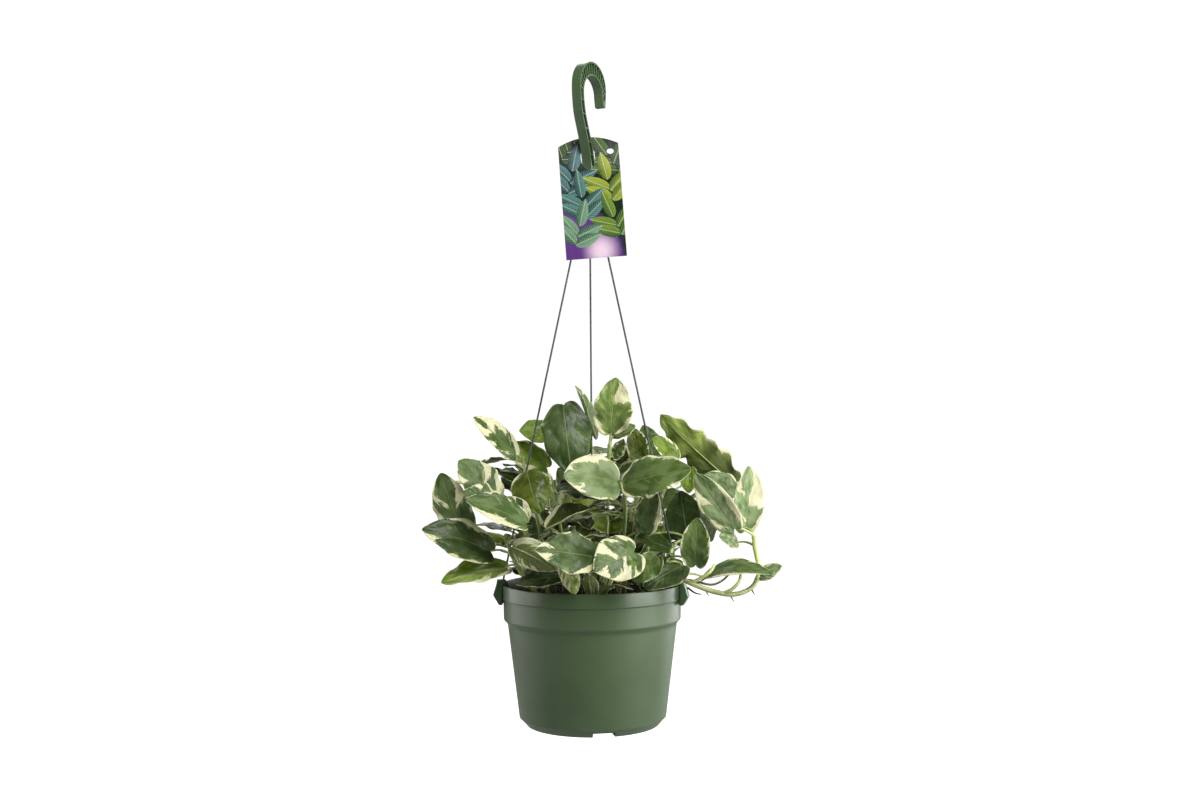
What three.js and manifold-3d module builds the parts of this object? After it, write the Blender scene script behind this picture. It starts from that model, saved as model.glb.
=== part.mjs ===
// A variegated pothos in a moulded hanging pot: pot, soil, hook, three strands with their clips,
// plant tag and leafy stems. Millimetres, +Z up. Everything is laid out from the pot's underside
// and then lowered, so that the origin is where the hook bears on whatever carries it.
import * as THREE from 'three';
import { mergeVertices } from 'three/addons/utils/BufferGeometryUtils.js';
import Module from 'manifold-3d';

const wasm = await Module();
wasm.setup();

// Pot
const POT_HEIGHT = 155.7;
const RIM_RADIUS = 100;
const RIM_BAND = 15.5;
const SHOULDER_RADIUS = 98.4;
const SHOULDER_FOOT = 117;
const STEP_HEIGHT = 4.2;
const BODY_TOP_RADIUS = 93.8;
const BODY_FOOT_RADIUS = 81.4;
const FOOT_RADIUS = 73;
const FOOT_CHAMFER = 9;
const WALL = 2;
const POT_SEGMENTS = 36;
const NOTCH_COUNT = 4;
const NOTCH_WIDTH = 24;
const NOTCH_HEIGHT = 5.5;
const NOTCH_INNER_RADIUS = 54;
const NOTCH_TURN = -80.5;

// Soil
const SOIL_EDGE_HEIGHT = 134;
const SOIL_CROWN = 8;
const SOIL_FOOT_RADIUS = 50;
const FIT = 0.35;
const STEM_DEPTH = 9;

// Hanger
const HOOK_TOP = 733.3;
const HOOK_OUTER_RADIUS = 28;
const HOOK_INNER_RADIUS = 20.5;
const HOOK_CROWN_DEPTH = 15.5;
const HOOK_WIDTH = 11.2;
const HOOK_TURN = 60;
const FLANGE = 1.8;
const WEB = 2.4;
const RIB = 1.2;
const CROWN_RIB_PITCH = 12;
const HUB_BOTTOM = 590;
const STRAND_RADIUS = 1.1;
const STRAND_TOP = 600;
const STRAND_TOP_REACH = 2.5;
const STRAND_FOOT = 157.5;
const STRAND_FOOT_REACH = 99.5;
const CLIP_WIDTH = 11;
const CLIP_AZIMUTHS = { left: 188, right: -16, back: 90 };

// Tag
const TAG_WIDTH = 67;
const TAG_SIDE = 130;
const TAG_ARCH = 9;
const TAG_THICKNESS = 0.8;
const TAG_LEAN = 4;
const TAG_CENTRE = [3, 577];

// Leaves
const BLADE_THICKNESS = 0.7;
const LARGE_BLADE_ROWS = [0, 0.14, 0.38, 0.64, 0.86];
const BLADE_ROWS = [0, 0.22, 0.52, 0.82];
const LARGE_LEAF = 64;
const STEM_RADIUS = 2;
const PETIOLE_RADIUS = 1.15;
const SETTLE_PASSES = 110;
const FREE_PASSES = 30;
const SETTLE_GAP = 8.5;
const HOME_PULL = 0.04;
const LOWEST_BACK_BLADE = 172;
const CROWN_TOP = 300;
const CROWN_SLOPE = 0.3;
const SEED = 37;

// Back stems, with a tall inner one after each low outer one: azimuth in degrees, reach of the
// foot from the axis, least height of the top and share of the length where leaves start.
const BACK_STEMS = 7;
const BACK_LEAVES = 5;
const BACK_FIRST = 29;
const BACK_STEP = 17;
const BACK_STRAND_GAP = 16;
const BACK_REACH = [62, 40];
const BACK_HEIGHT = [225, 265];
const BACK_LEAVES_FROM = [0.3, 0.62];

const rad = (degrees) => degrees * Math.PI / 180;
const vec = (p) => new THREE.Vector3(p[0], p[1], p[2]);

// A closed three.js geometry becomes a solid once its corners are shared.
function solidOf(geometry) {
  const bare = geometry.index ? geometry.toNonIndexed() : geometry.clone();
  bare.deleteAttribute('normal');
  bare.deleteAttribute('uv');
  const merged = mergeVertices(bare, 1e-4);
  const solid = new wasm.Manifold(new wasm.Mesh({
    numProp: 3,
    vertProperties: new Float32Array(merged.attributes.position.array),
    triVerts: new Uint32Array(merged.index.array),
  }));
  return solid;
}

function geometryOf(solid) {
  const mesh = solid.getMesh();
  const geometry = new THREE.BufferGeometry();
  geometry.setAttribute('position', new THREE.BufferAttribute(new Float32Array(mesh.vertProperties), 3));
  geometry.setIndex(new THREE.BufferAttribute(new Uint32Array(mesh.triVerts), 1));
  return geometry;
}

function polygon(points) {
  return new THREE.Shape(points.map(([x, y]) => new THREE.Vector2(x, y)));
}

// A profile of (radius, height) points turned about the Z axis.
function turned(profile, segments) {
  const points = profile.map(([r, z]) => new THREE.Vector2(r, z));
  const geometry = new THREE.LatheGeometry(points, segments);
  geometry.rotateX(Math.PI / 2);
  return geometry;
}

// A round rod with few sides along a curve, closed at both ends.
function rod(curve, radius, sides, steps) {
  const section = [];
  for (let i = 0; i < sides; i += 1) {
    const turn = (i + 0.5) * 2 * Math.PI / sides;
    section.push([radius * Math.cos(turn), radius * Math.sin(turn)]);
  }
  return new THREE.ExtrudeGeometry(polygon(section), { steps, extrudePath: curve });
}

function box(size, centre) {
  const geometry = new THREE.BoxGeometry(size[0], size[1], size[2]);
  geometry.translate(centre[0], centre[1], centre[2]);
  return geometry;
}

// Pot: one moulding, with a rim band that stands proud, a shoulder, a tapered wall and a
// chamfered foot. Four drain notches cut the foot's corner.
function potSolid() {
  const rimFoot = POT_HEIGHT - RIM_BAND;
  const outer = [
    [0, 0],
    [FOOT_RADIUS, 0],
    [BODY_FOOT_RADIUS - 1, FOOT_CHAMFER - 0.6],
    [BODY_FOOT_RADIUS, FOOT_CHAMFER],
    [BODY_TOP_RADIUS, SHOULDER_FOOT - STEP_HEIGHT],
    [SHOULDER_RADIUS - 0.4, SHOULDER_FOOT],
    [SHOULDER_RADIUS, rimFoot - 0.4],
    [RIM_RADIUS, rimFoot],
    [RIM_RADIUS, POT_HEIGHT - 0.7],
    [RIM_RADIUS - 0.7, POT_HEIGHT],
  ];
  const inner = [
    [RIM_RADIUS - WALL - 0.4, POT_HEIGHT],
    [SHOULDER_RADIUS - WALL, rimFoot - 2],
    [SHOULDER_RADIUS - WALL - 0.4, SHOULDER_FOOT + 0.8],
    [BODY_TOP_RADIUS - WALL, SHOULDER_FOOT - STEP_HEIGHT],
    [BODY_FOOT_RADIUS - WALL, FOOT_CHAMFER + 1],
    [FOOT_RADIUS + 2, WALL],
    [0, WALL],
  ];
  let pot = solidOf(turned([...outer, ...inner], POT_SEGMENTS));
  const notchReach = BODY_FOOT_RADIUS + 4 - NOTCH_INNER_RADIUS;
  for (let k = 0; k < NOTCH_COUNT; k += 1) {
    const notch = box([notchReach, NOTCH_WIDTH, NOTCH_HEIGHT + 1],
      [NOTCH_INNER_RADIUS + notchReach / 2, 0, (NOTCH_HEIGHT - 1) / 2]);
    notch.rotateZ(rad(NOTCH_TURN + k * 360 / NOTCH_COUNT));
    pot = pot.subtract(solidOf(notch));
  }
  return pot;
}

function soilHeight(radius) {
  const share = radius / (SHOULDER_RADIUS - WALL);
  return SOIL_EDGE_HEIGHT + SOIL_CROWN * (1 - share * share);
}

// Soil: fills the pot, with a plain round hole for each stem.
function soilSolid(feet) {
  const edge = SHOULDER_RADIUS - WALL - 0.4 - FIT;
  const profile = [
    [0, WALL + FIT],
    [SOIL_FOOT_RADIUS, WALL + FIT],
    [SOIL_FOOT_RADIUS + 4, NOTCH_HEIGHT + 1],
    [BODY_FOOT_RADIUS - WALL - 2, NOTCH_HEIGHT + 1],
    [BODY_FOOT_RADIUS - WALL - FIT, FOOT_CHAMFER + 2],
    [BODY_TOP_RADIUS - WALL - FIT, SHOULDER_FOOT - STEP_HEIGHT],
    [edge - 0.1, SHOULDER_FOOT + 1.2],
    [edge, SOIL_EDGE_HEIGHT],
    [70, soilHeight(70)],
    [35, soilHeight(35)],
    [0, soilHeight(0)],
  ];
  let soil = solidOf(turned(profile, POT_SEGMENTS));
  for (const foot of feet) {
    const top = soilHeight(Math.hypot(foot[0], foot[1])) + 4;
    const hole = new THREE.CylinderGeometry(STEM_RADIUS + 0.9, STEM_RADIUS + 0.9, STEM_DEPTH + 5, 6);
    hole.rotateX(Math.PI / 2);
    hole.translate(foot[0], foot[1], top - (STEM_DEPTH + 5) / 2);
    soil = soil.subtract(solidOf(hole));
  }
  return soil;
}

// The hook is laid out in its own upright plane: u is the way its mouth lies, z is height.
// Each section is a pair of points, on the outer and on the inner flange.
function hookSections() {
  const outerCentre = HOOK_TOP - HOOK_OUTER_RADIUS;
  const innerCentre = HOOK_TOP - HOOK_CROWN_DEPTH - HOOK_INNER_RADIUS;
  const sections = [
    [[26.6, 686.5], [22.4, 687.5]],
    [[27.6, 696], [21.4, 692.5]],
  ];
  for (let turn = 0; turn <= 180; turn += CROWN_RIB_PITCH) {
    const c = Math.cos(rad(turn));
    const s = Math.sin(rad(turn));
    sections.push([
      [HOOK_OUTER_RADIUS * c, outerCentre + HOOK_OUTER_RADIUS * s],
      [HOOK_INNER_RADIUS * c, innerCentre + HOOK_INNER_RADIUS * s],
    ]);
  }
  sections.push([[-27.4, 690], [-19.4, 687]], [[-24.5, 674], [-15.8, 672]]);
  sections.push([[-18.7, 659], [-9.8, 657]], [[-13, 645], [-4, 643]]);
  sections.push([[-8.8, 631], [0.4, 630]], [[-6.2, 618], [4, 617]]);
  sections.push([[-5.6, 606], [5.6, 606]], [[-5.6, HUB_BOTTOM], [5.6, HUB_BOTTOM]]);
  return sections;
}

// Hook: a moulded J of two flanges and a web, stiffened by cross ribs, solid at the hub where
// the strands are held in three blind holes.
function hookSolid() {
  const sections = hookSections();
  const outline = [...sections.map((s) => s[0]), ...sections.map((s) => s[1]).reverse()];
  const body = new THREE.ExtrudeGeometry(polygon(outline), { depth: HOOK_WIDTH, bevelEnabled: false });
  body.translate(0, 0, -HOOK_WIDTH / 2);
  let hook = solidOf(body);
  const pocketDepth = (HOOK_WIDTH - WEB) / 2;
  for (let i = 1; i < sections.length - 3; i += 1) {
    const pocket = pocketOutline(sections[i], sections[i + 1]);
    for (const side of [-1, 1]) {
      const depth = pocketDepth + 1;
      const cut = new THREE.ExtrudeGeometry(polygon(pocket), { depth, bevelEnabled: false });
      cut.translate(0, 0, side > 0 ? WEB / 2 : -WEB / 2 - pocketDepth - 1);
      hook = hook.subtract(solidOf(cut));
    }
  }
  const upright = geometryOf(hook);
  upright.rotateX(Math.PI / 2);
  upright.rotateZ(rad(HOOK_TURN));
  hook = solidOf(upright);
  for (const azimuth of Object.values(CLIP_AZIMUTHS)) {
    const [top, foot] = strandEnds(azimuth);
    const way = foot.clone().sub(top).normalize();
    const start = top.clone().addScaledVector(way, -0.5);
    const end = top.clone().addScaledVector(way, 16);
    hook = hook.subtract(solidOf(rod(new THREE.LineCurve3(start, end), STRAND_RADIUS + 0.4, 8, 1)));
  }
  return hook;
}

// A pocket lies between two ribs, inset from both flanges.
function pocketOutline(first, second) {
  const inset = (from, to, distance) => {
    const dx = to[0] - from[0];
    const dz = to[1] - from[1];
    const share = distance / Math.hypot(dx, dz);
    return [from[0] + dx * share, from[1] + dz * share];
  };
  const corner = (here, there, flange) => {
    const near = inset(here[flange], here[1 - flange], FLANGE);
    const far = inset(there[flange], there[1 - flange], FLANGE);
    return inset(near, far, RIB / 2);
  };
  const outer = [corner(first, second, 0), corner(second, first, 0)];
  const inner = [corner(second, first, 1), corner(first, second, 1)];
  return [...outer, ...inner];
}

function strandEnds(azimuth) {
  const c = Math.cos(rad(azimuth));
  const s = Math.sin(rad(azimuth));
  const top = new THREE.Vector3(STRAND_TOP_REACH * c, STRAND_TOP_REACH * s, STRAND_TOP);
  const foot = new THREE.Vector3(STRAND_FOOT_REACH * c, STRAND_FOOT_REACH * s, STRAND_FOOT);
  return [top, foot];
}

function strandSolid(azimuth) {
  const [top, foot] = strandEnds(azimuth);
  return solidOf(rod(new THREE.LineCurve3(top, foot), STRAND_RADIUS, 8, 1));
}

// Clip: grips the rim band from both sides, with a barb under the band and a thumb wedge
// outside. The strand's end sits in a hole in its top.
function clipSolid(azimuth) {
  const grip = RIM_RADIUS + FIT;
  const top = POT_HEIGHT + FIT;
  const band = POT_HEIGHT - RIM_BAND;
  const inside = SHOULDER_RADIUS - WALL;
  const profile = [
    [grip - 1.4, band - 0.8], [grip, band - 0.8], [grip, top], [inside, top],
    [inside, top - 8], [inside - 2.4, top - 8], [inside - 2.4, top + 3], [inside, top + 5.4],
    [grip + 4.8, top + 5.4], [grip + 5.6, top], [grip + 9.4, top - 12], [grip + 3.6, band - 6],
    [grip + 0.2, band - 6], [grip - 1.4, band - 3.4],
  ];
  const slab = new THREE.ExtrudeGeometry(polygon(profile), { depth: CLIP_WIDTH, bevelEnabled: false });
  slab.translate(0, 0, -CLIP_WIDTH / 2);
  slab.rotateX(Math.PI / 2);
  slab.rotateZ(rad(azimuth));
  const [head, foot] = strandEnds(azimuth);
  const way = head.clone().sub(foot).normalize();
  const start = foot.clone().addScaledVector(way, -FIT);
  const end = foot.clone().addScaledVector(way, 12);
  return solidOf(slab).subtract(solidOf(rod(new THREE.LineCurve3(start, end), STRAND_RADIUS + 0.4, 8, 1)));
}

// Tag: a thin card with an arched top. It is threaded on the hook's shank by a slot, so its top
// lies behind the shank and the rest hangs in front of the strands.
function tagSolid() {
  const drape = new THREE.SplineCurve([
    [79, 4], [66, 1.5], [51, -3.5], [38, -8.5], [24, -9.6], [-17, -10], [-62, -11.5],
  ].map(([z, y]) => new THREE.Vector2(y, z))).getPoints(12);
  const front = drape.map((p) => [p.x - TAG_THICKNESS / 2, p.y]);
  const back = drape.map((p) => [p.x + TAG_THICKNESS / 2, p.y]).reverse();
  const section = polygon([...front, ...back]);
  const sheet = new THREE.ExtrudeGeometry(section, { depth: TAG_WIDTH + 10, bevelEnabled: false });
  sheet.rotateX(Math.PI / 2);
  sheet.rotateZ(Math.PI / 2);
  sheet.translate(-TAG_WIDTH / 2 - 5, 0, 0);
  const half = TAG_WIDTH / 2;
  const outline = new THREE.Shape();
  outline.moveTo(-half, -TAG_SIDE / 2 + 3);
  outline.lineTo(-half + 3, -TAG_SIDE / 2);
  outline.lineTo(half - 3, -TAG_SIDE / 2);
  outline.lineTo(half, -TAG_SIDE / 2 + 3);
  outline.lineTo(half, TAG_SIDE / 2);
  outline.quadraticCurveTo(0, TAG_SIDE / 2 + 2 * TAG_ARCH, -half, TAG_SIDE / 2);
  const slot = new THREE.Path();
  slot.absellipse(-0.5, 51, 9, 15, 0, 2 * Math.PI, true, 0);
  const punched = new THREE.Path();
  punched.absellipse(24, 56, 3.9, 3.1, 0, 2 * Math.PI, true, 0);
  outline.holes.push(slot, punched);
  const cutter = new THREE.ExtrudeGeometry(outline, { depth: 60, bevelEnabled: false, curveSegments: 6 });
  cutter.translate(0, 0, -30);
  cutter.rotateX(Math.PI / 2);
  const card = geometryOf(solidOf(sheet).intersect(solidOf(cutter)));
  card.rotateY(rad(-TAG_LEAN));
  card.translate(TAG_CENTRE[0], 0, TAG_CENTRE[1]);
  return solidOf(card);
}

// Leafy stems that the front of the plant shows, set by hand. A foot is where the stem leaves
// the soil and the path is what it follows above it. Each leaf has the share of the stem's
// length at which it grows, the blade's base and tip, the way its upper face looks, its width,
// cup (raised margins are positive), curl (degrees, tip down is positive) and lobe.
const FRONT_STEMS = [
  {
    foot: [-60, -38], path: [[-72, -42, 165], [-86, -42, 190], [-94, -36, 212]],
    leaves: [
      [0.95, [-136, -50, 214], [-160, -62, 281], [-1, -5, 0], 42, 0.12, 20, 0.1],
      [0.75, [-109, -62, 196], [-178, -88, 224], [-1, -4, 3], 48, 0.1, 30, 0.1],
      [0.6, [-91, -62, 181], [-158, -84, 167], [0, -2, 3], 40, 0.1, 30, 0.1],
      [1.0, [-92, -36, 208], [-116, -42, 214], [0, -3, 3], 16, 0.2, 20, 0.1],
    ],
  },
  {
    foot: [-46, -56], path: [[-50, -60, 165], [-62, -66, 195], [-72, -68, 220], [-82, -60, 243]],
    leaves: [
      [0.7, [-73, -88, 229], [-131, -108, 256], [0, -3, 4], 44, 0.15, 20, 0.1],
      [0.9, [-94, -70, 250], [-133, -84, 262], [0, -3, 3], 34, 0.1, 20, 0.1],
      [1.0, [-101, -50, 251], [-143, -60, 293], [1, -4, 2], 44, 0.1, 20, 0.1],
      [0.8, [-68, -66, 231], [-90, -78, 255], [2, -4, 1], 24, 0.3, 10, 0.1],
      [0.5, [-82, -92, 205], [-37, -100, 181], [1, 4, 1], 34, 0.1, 30, 0.1],
    ],
  },
  {
    foot: [-40, -22], path: [[-48, -22, 175], [-60, -20, 230], [-70, -8, 268], [-76, 0, 290]],
    leaves: [
      [1.0, [-84, -20, 299], [-127, -40, 341], [1, -3, 2], 30, 0.15, 25, 0.1],
      [0.9, [-73, 30, 279], [-103, 18, 280], [0, -1, 4], 24, 0.1, 15, 0.1],
      [0.8, [-72, -48, 277], [-62, -74, 234], [-1, -4, 3], 46, -0.2, 40, 0.1],
    ],
  },
  {
    foot: [-22, -62], path: [[-24, -62, 170], [-32, -56, 215], [-38, -44, 252], [-40, -36, 272]],
    leaves: [
      [0.55, [-46, -74, 223], [-2, -86, 245], [0, -2, 4], 34, 0.5, 15, 0.1],
      [0.9, [-33, -45, 266], [10, -60, 252], [0, -2, 4], 40, 0.1, 25, 0.1],
      [0.25, [-34, -72, 175], [-80, -78, 168], [0, -2, 3], 30, 0.1, 20, 0.1],
    ],
  },
  {
    foot: [-12, -22], path: [[-16, -20, 190], [-26, -8, 260], [-36, -2, 320], [-40, -8, 345]],
    leaves: [
      [1.0, [-30, -35, 353], [-21, -62, 280], [0, -5, 2], 54, -0.15, 40, 0.1],
      [0.9, [-45, 15, 321], [-80, 5, 325], [0, -3, 2], 32, 0.1, 20, 0.1],
      [0.85, [3, -15, 318], [-17, -22, 374], [4, -1, 1], 26, 0.5, 10, 0.1],
    ],
  },
  {
    foot: [4, -70], path: [[6, -72, 160], [9, -76, 182], [8, -72, 205]],
    leaves: [
      [0.8, [2, -100, 195], [-57, -122, 205], [0, -4, 2], 46, 0.1, 20, 0.18],
      [0.6, [-30, -104, 190], [-17, -106, 158], [1, 4, 1], 22, 0.2, 15, 0.1],
      [1.0, [44, -98, 199], [3, -118, 182], [0, -4, 2], 54, 0.1, 15, 0.2],
    ],
  },
  {
    foot: [14, -18], path: [[16, -20, 190], [18, -26, 250], [19, -32, 295], [20, -34, 310]],
    leaves: [
      [1.0, [22, -40, 323], [27, -48, 382], [0, -5, 1], 42, 0.15, 15, 0.1],
      [0.95, [24, -22, 321], [48, -14, 330], [1, -2, 3], 22, 0.1, 15, 0.1],
      [0.9, [24, -6, 295], [36, -12, 316], [2, -4, 0], 18, 0.1, 15, 0.1],
      [0.8, [29, -72, 274], [-28, -102, 280], [0, -4, 2], 54, 0.1, 30, 0.1],
    ],
  },
  {
    foot: [30, -42], path: [[32, -46, 180], [36, -54, 225], [36, -58, 258]],
    leaves: [
      [1.0, [36, -80, 268], [103, -106, 286], [0, -4, 2], 46, 0.08, 25, 0.1],
      [0.95, [26, -32, 280], [84, -46, 296], [0, -2, 4], 34, 0.1, 20, 0.1],
      [0.6, [56, -62, 213], [66, -76, 257], [-1, -4, 1], 30, 0.2, 15, 0.1],
    ],
  },
  {
    foot: [52, -22], path: [[58, -22, 180], [70, -18, 230], [84, -8, 268], [90, -2, 282]],
    leaves: [
      [1.0, [94, -8, 292], [68, -12, 317], [1, -3, 2], 26, 0.1, 20, 0.1],
      [0.85, [54, 8, 290], [46, 2, 327], [1, -4, 0], 26, 0.15, 20, 0.1],
      [0.9, [72, 28, 291], [58, 22, 330], [0, -3, 1], 30, 0.1, 20, 0.1],
      [0.9, [107, -26, 284], [106, -36, 257], [-1, -4, 1], 20, 0.1, 20, 0.1],
      [0.5, [106, -4, 205], [98, -12, 258], [0, -4, 1], 46, 0.1, 15, 0.1],
    ],
  },
  {
    foot: [56, 8], path: [[66, 9, 190], [95, 12, 236], [126, 16, 258], [148, 22, 264]],
    leaves: [
      [1.0, [157, 25, 266], [77, 0, 342], [1, 4, 2], 46, 0.1, -12, 0.1],
      [0.95, [160, 4, 268], [108, -8, 277], [0, -1, 4], 32, 0.1, 20, 0.1],
      [0.9, [152, -10, 248], [122, -26, 276], [1, -3, 1], 36, 0.15, 20, 0.1],
    ],
  },
  {
    foot: [62, -52], path: [[68, -54, 165], [80, -56, 185], [90, -52, 204]],
    leaves: [
      [0.8, [106, -84, 184], [111, -98, 232], [-1, -4, 1], 32, 0.35, 15, 0.1],
      [0.9, [86, -62, 187], [50, -72, 212], [0, -2, 3], 38, 0.1, 20, 0.1],
      [0.7, [103, -66, 190], [60, -87, 169], [0, -3, 3], 38, 0.1, 20, 0.1],
      [0.45, [68, -80, 186], [41, -94, 166], [1, -4, 2], 28, 0.1, 20, 0.1],
      [1.0, [126, -36, 206], [121, -46, 258], [2, -3, 0], 30, 0.1, 15, 0.1],
    ],
  },
  {
    foot: [70, -34],
    path: [[70, -35, 157], [76, -43, 165], [90, -58, 169], [106, -70, 163], [131, -72, 154],
      [153, -68, 151], [172, -60, 158], [180, -52, 172], [177, -46, 195], [176, -42, 210]],
    leaves: [
      [0.3, [119, -62, 184], [191, -76, 173], [0, -2, 4], 34, 0.1, 60, 0.1],
      [0.78, [180, -56, 168], [203, -62, 180], [0, -3, 2], 18, 0.1, 20, 0.1],
      [1.0, [160, -20, 213], [170, -38, 283], [2, -4, -1], 40, 0.1, 15, 0.1],
      [1.0, [154, -44, 222], [112, -64, 279], [-2, -4, 1], 36, 0.15, 20, 0.1],
      [0.95, [168, -28, 206], [142, -36, 211], [0, -3, 2], 22, 0.1, 20, 0.1],
    ],
  },
];

// Stems in the middle of the pot: foot, and the height of the top.
const INNER_STEMS = [[-34, 4, 255], [2, 14, 285], [36, 4, 250]];
const INNER_LEAVES = 4;

// A small repeatable draw between 0 and 1.
function draws(seed) {
  let state = seed;
  return () => {
    state = (state * 16807) % 2147483647;
    return state / 2147483647;
  };
}

// The back of the plant follows a rule: stems fan out and their leaves reach outward and up,
// under a dome, the lower ones over the rim. They leave a way for the strand at the back.
function backStems() {
  const strand = rad(CLIP_AZIMUTHS.back);
  const strandRoom = 0.17;
  const draw = draws(SEED);
  const stems = [];
  for (let k = 0; k < BACK_STEMS; k += 1) {
    const kind = k % 2;
    const behind = k < BACK_STEMS / 2 ? 0 : BACK_STRAND_GAP;
    const azimuth = rad(BACK_FIRST + BACK_STEP * k + behind + 4 * (draw() - 0.5));
    const reach = BACK_REACH[kind];
    const foot = [reach * Math.cos(azimuth), reach * Math.sin(azimuth)];
    const lean = 20 + 22 * draw();
    const height = BACK_HEIGHT[kind] + 20 * draw();
    const at = (share) => [
      (reach + lean * share) * Math.cos(azimuth + 0.12 * share),
      (reach + lean * share) * Math.sin(azimuth + 0.12 * share),
      150 + (height - 150) * share,
    ];
    const stem = { foot, path: [at(0.3), at(0.65), at(1)], leaves: [] };
    for (let j = 0; j < BACK_LEAVES; j += 1) {
      const first = BACK_LEAVES_FROM[kind];
      const share = first + (1 - first) * j / (BACK_LEAVES - 1);
      const wish = azimuth + (j % 2 === 0 ? 1 : -1) * (0.05 + 0.38 * draw());
      const rightOfStrand = azimuth < Math.PI / 2;
      const turn = rightOfStrand ? Math.min(wish, strand - strandRoom) : Math.max(wish, strand + strandRoom);
      const petiole = 24 + 22 * draw();
      const length = 48 + 26 * draw();
      const start = at(share);
      const base = [
        start[0] + petiole * Math.cos(turn),
        start[1] + petiole * Math.sin(turn),
        Math.max(start[2] + petiole * 0.45, LOWEST_BACK_BLADE),
      ];
      const top = CROWN_TOP - CROWN_SLOPE * Math.abs(base[0]);
      const headroom = Math.asin(Math.min((top - base[2]) / length, 1));
      const climb = Math.min(rad(-12 + 62 * share * draw() + 10 * share), headroom);
      const tip = [
        base[0] + length * Math.cos(climb) * Math.cos(turn),
        base[1] + length * Math.cos(climb) * Math.sin(turn),
        base[2] + length * Math.sin(climb),
      ];
      const up = [0.6 * Math.cos(turn), 0.6 * Math.sin(turn), 1];
      const width = length * (0.58 + 0.12 * draw());
      stem.leaves.push([share, base, tip, up, width, 0.1, 15 + 25 * draw(), 0.1]);
    }
    stems.push(stem);
  }
  return stems;
}

// The middle of the plant: upright stems whose leaves face the front, left and right in turn.
function innerStems() {
  const draw = draws(SEED + 1000);
  return INNER_STEMS.map(([x, y, height]) => {
    const at = (share) => [x * (1 + 0.4 * share), y + 14 * share, 150 + (height - 150) * share];
    const stem = { foot: [x, y], path: [at(0.3), at(0.65), at(1)], leaves: [] };
    for (let j = 0; j < INNER_LEAVES; j += 1) {
      const share = 0.3 + 0.7 * j / (INNER_LEAVES - 1);
      const side = j % 2 === 0 ? 1 : -1;
      const start = at(share);
      const base = [start[0] + side * (9 + 8 * draw()), start[1] + 4, start[2] + 12];
      const length = 44 + 12 * draw();
      const climb = rad(10 + 50 * draw());
      const across = side * length * Math.cos(climb);
      const tip = [base[0] + across, base[1] - 8, base[2] + length * Math.sin(climb)];
      stem.leaves.push([share, base, tip, [0.3 * side, -3, 2], length * 0.66, 0.1, 20, 0.1]);
    }
    return stem;
  });
}

function stemCurve(stem) {
  const ground = soilHeight(Math.hypot(stem.foot[0], stem.foot[1]));
  const points = [
    [stem.foot[0], stem.foot[1], ground - STEM_DEPTH],
    [stem.foot[0], stem.foot[1], ground + 1],
    [stem.foot[0], stem.foot[1], ground + 7],
    ...stem.path,
  ];
  return new THREE.CatmullRomCurve3(points.map(vec), false, 'centripetal');
}

// Half of the blade's width, as a share of the widest half, at a share of its length.
function bladeProfile(u) {
  return 2.07 * (u + 0.03) ** 0.5 * (1 - u) ** 0.6;
}

// A point of the blade and the upper face's direction there: u runs from base to tip, s across.
function bladePoint(leaf, u, s) {
  const along = leaf.tip.clone().sub(leaf.base);
  const chord = along.length();
  along.divideScalar(chord);
  const face = leaf.up.clone().addScaledVector(along, -leaf.up.dot(along)).normalize();
  const side = along.clone().cross(face);
  const bend = leaf.curl;
  const radius = chord / (2 * Math.sin(bend / 2));
  const share = u - leaf.lobe * s * s * (1 - u) ** 4;
  const turn = bend * share - bend / 2;
  const normal = face.clone().multiplyScalar(Math.cos(turn)).addScaledVector(along, Math.sin(turn));
  const half = leaf.width / 2 * bladeProfile(u);
  const point = leaf.base.clone()
    .addScaledVector(along, radius * (Math.sin(turn) + Math.sin(bend / 2)))
    .addScaledVector(face, radius * (Math.cos(turn) - Math.cos(bend / 2)))
    .addScaledVector(side, half * s)
    .addScaledVector(normal, leaf.cup * half * s * s);
  return [point, normal];
}

function petiolePoint(leaf, share) {
  const straight = leaf.root.clone().lerp(leaf.base, share);
  straight.z += leaf.sag * 4 * share * (1 - share);
  return straight;
}

// Sample points of a leaf, each with how strongly it moves with the blade's base and tip.
function leafSamples(leaf) {
  const samples = [];
  for (const share of [0.15, 0.35, 0.55, 0.8]) {
    samples.push({ point: petiolePoint(leaf, share), base: share, tip: 0 });
  }
  for (const u of [0.02, 0.24, 0.46, 0.68, 0.92]) {
    for (const s of u > 0.9 ? [0] : [-0.9, -0.45, 0, 0.45, 0.9]) {
      samples.push({ point: bladePoint(leaf, u, s)[0], base: 1 - u, tip: u });
    }
  }
  return samples;
}

// Two blades part along the way that both faces look, towards the side where each one lies.
function partingWay(first, second) {
  const way = second.face().multiplyScalar(Math.sign(first.face().dot(second.face()) + 1e-9));
  way.add(first.face()).normalize();
  const offset = first.middle().sub(second.middle());
  return way.multiplyScalar(Math.sign(offset.dot(way) + 1e-9));
}

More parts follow.
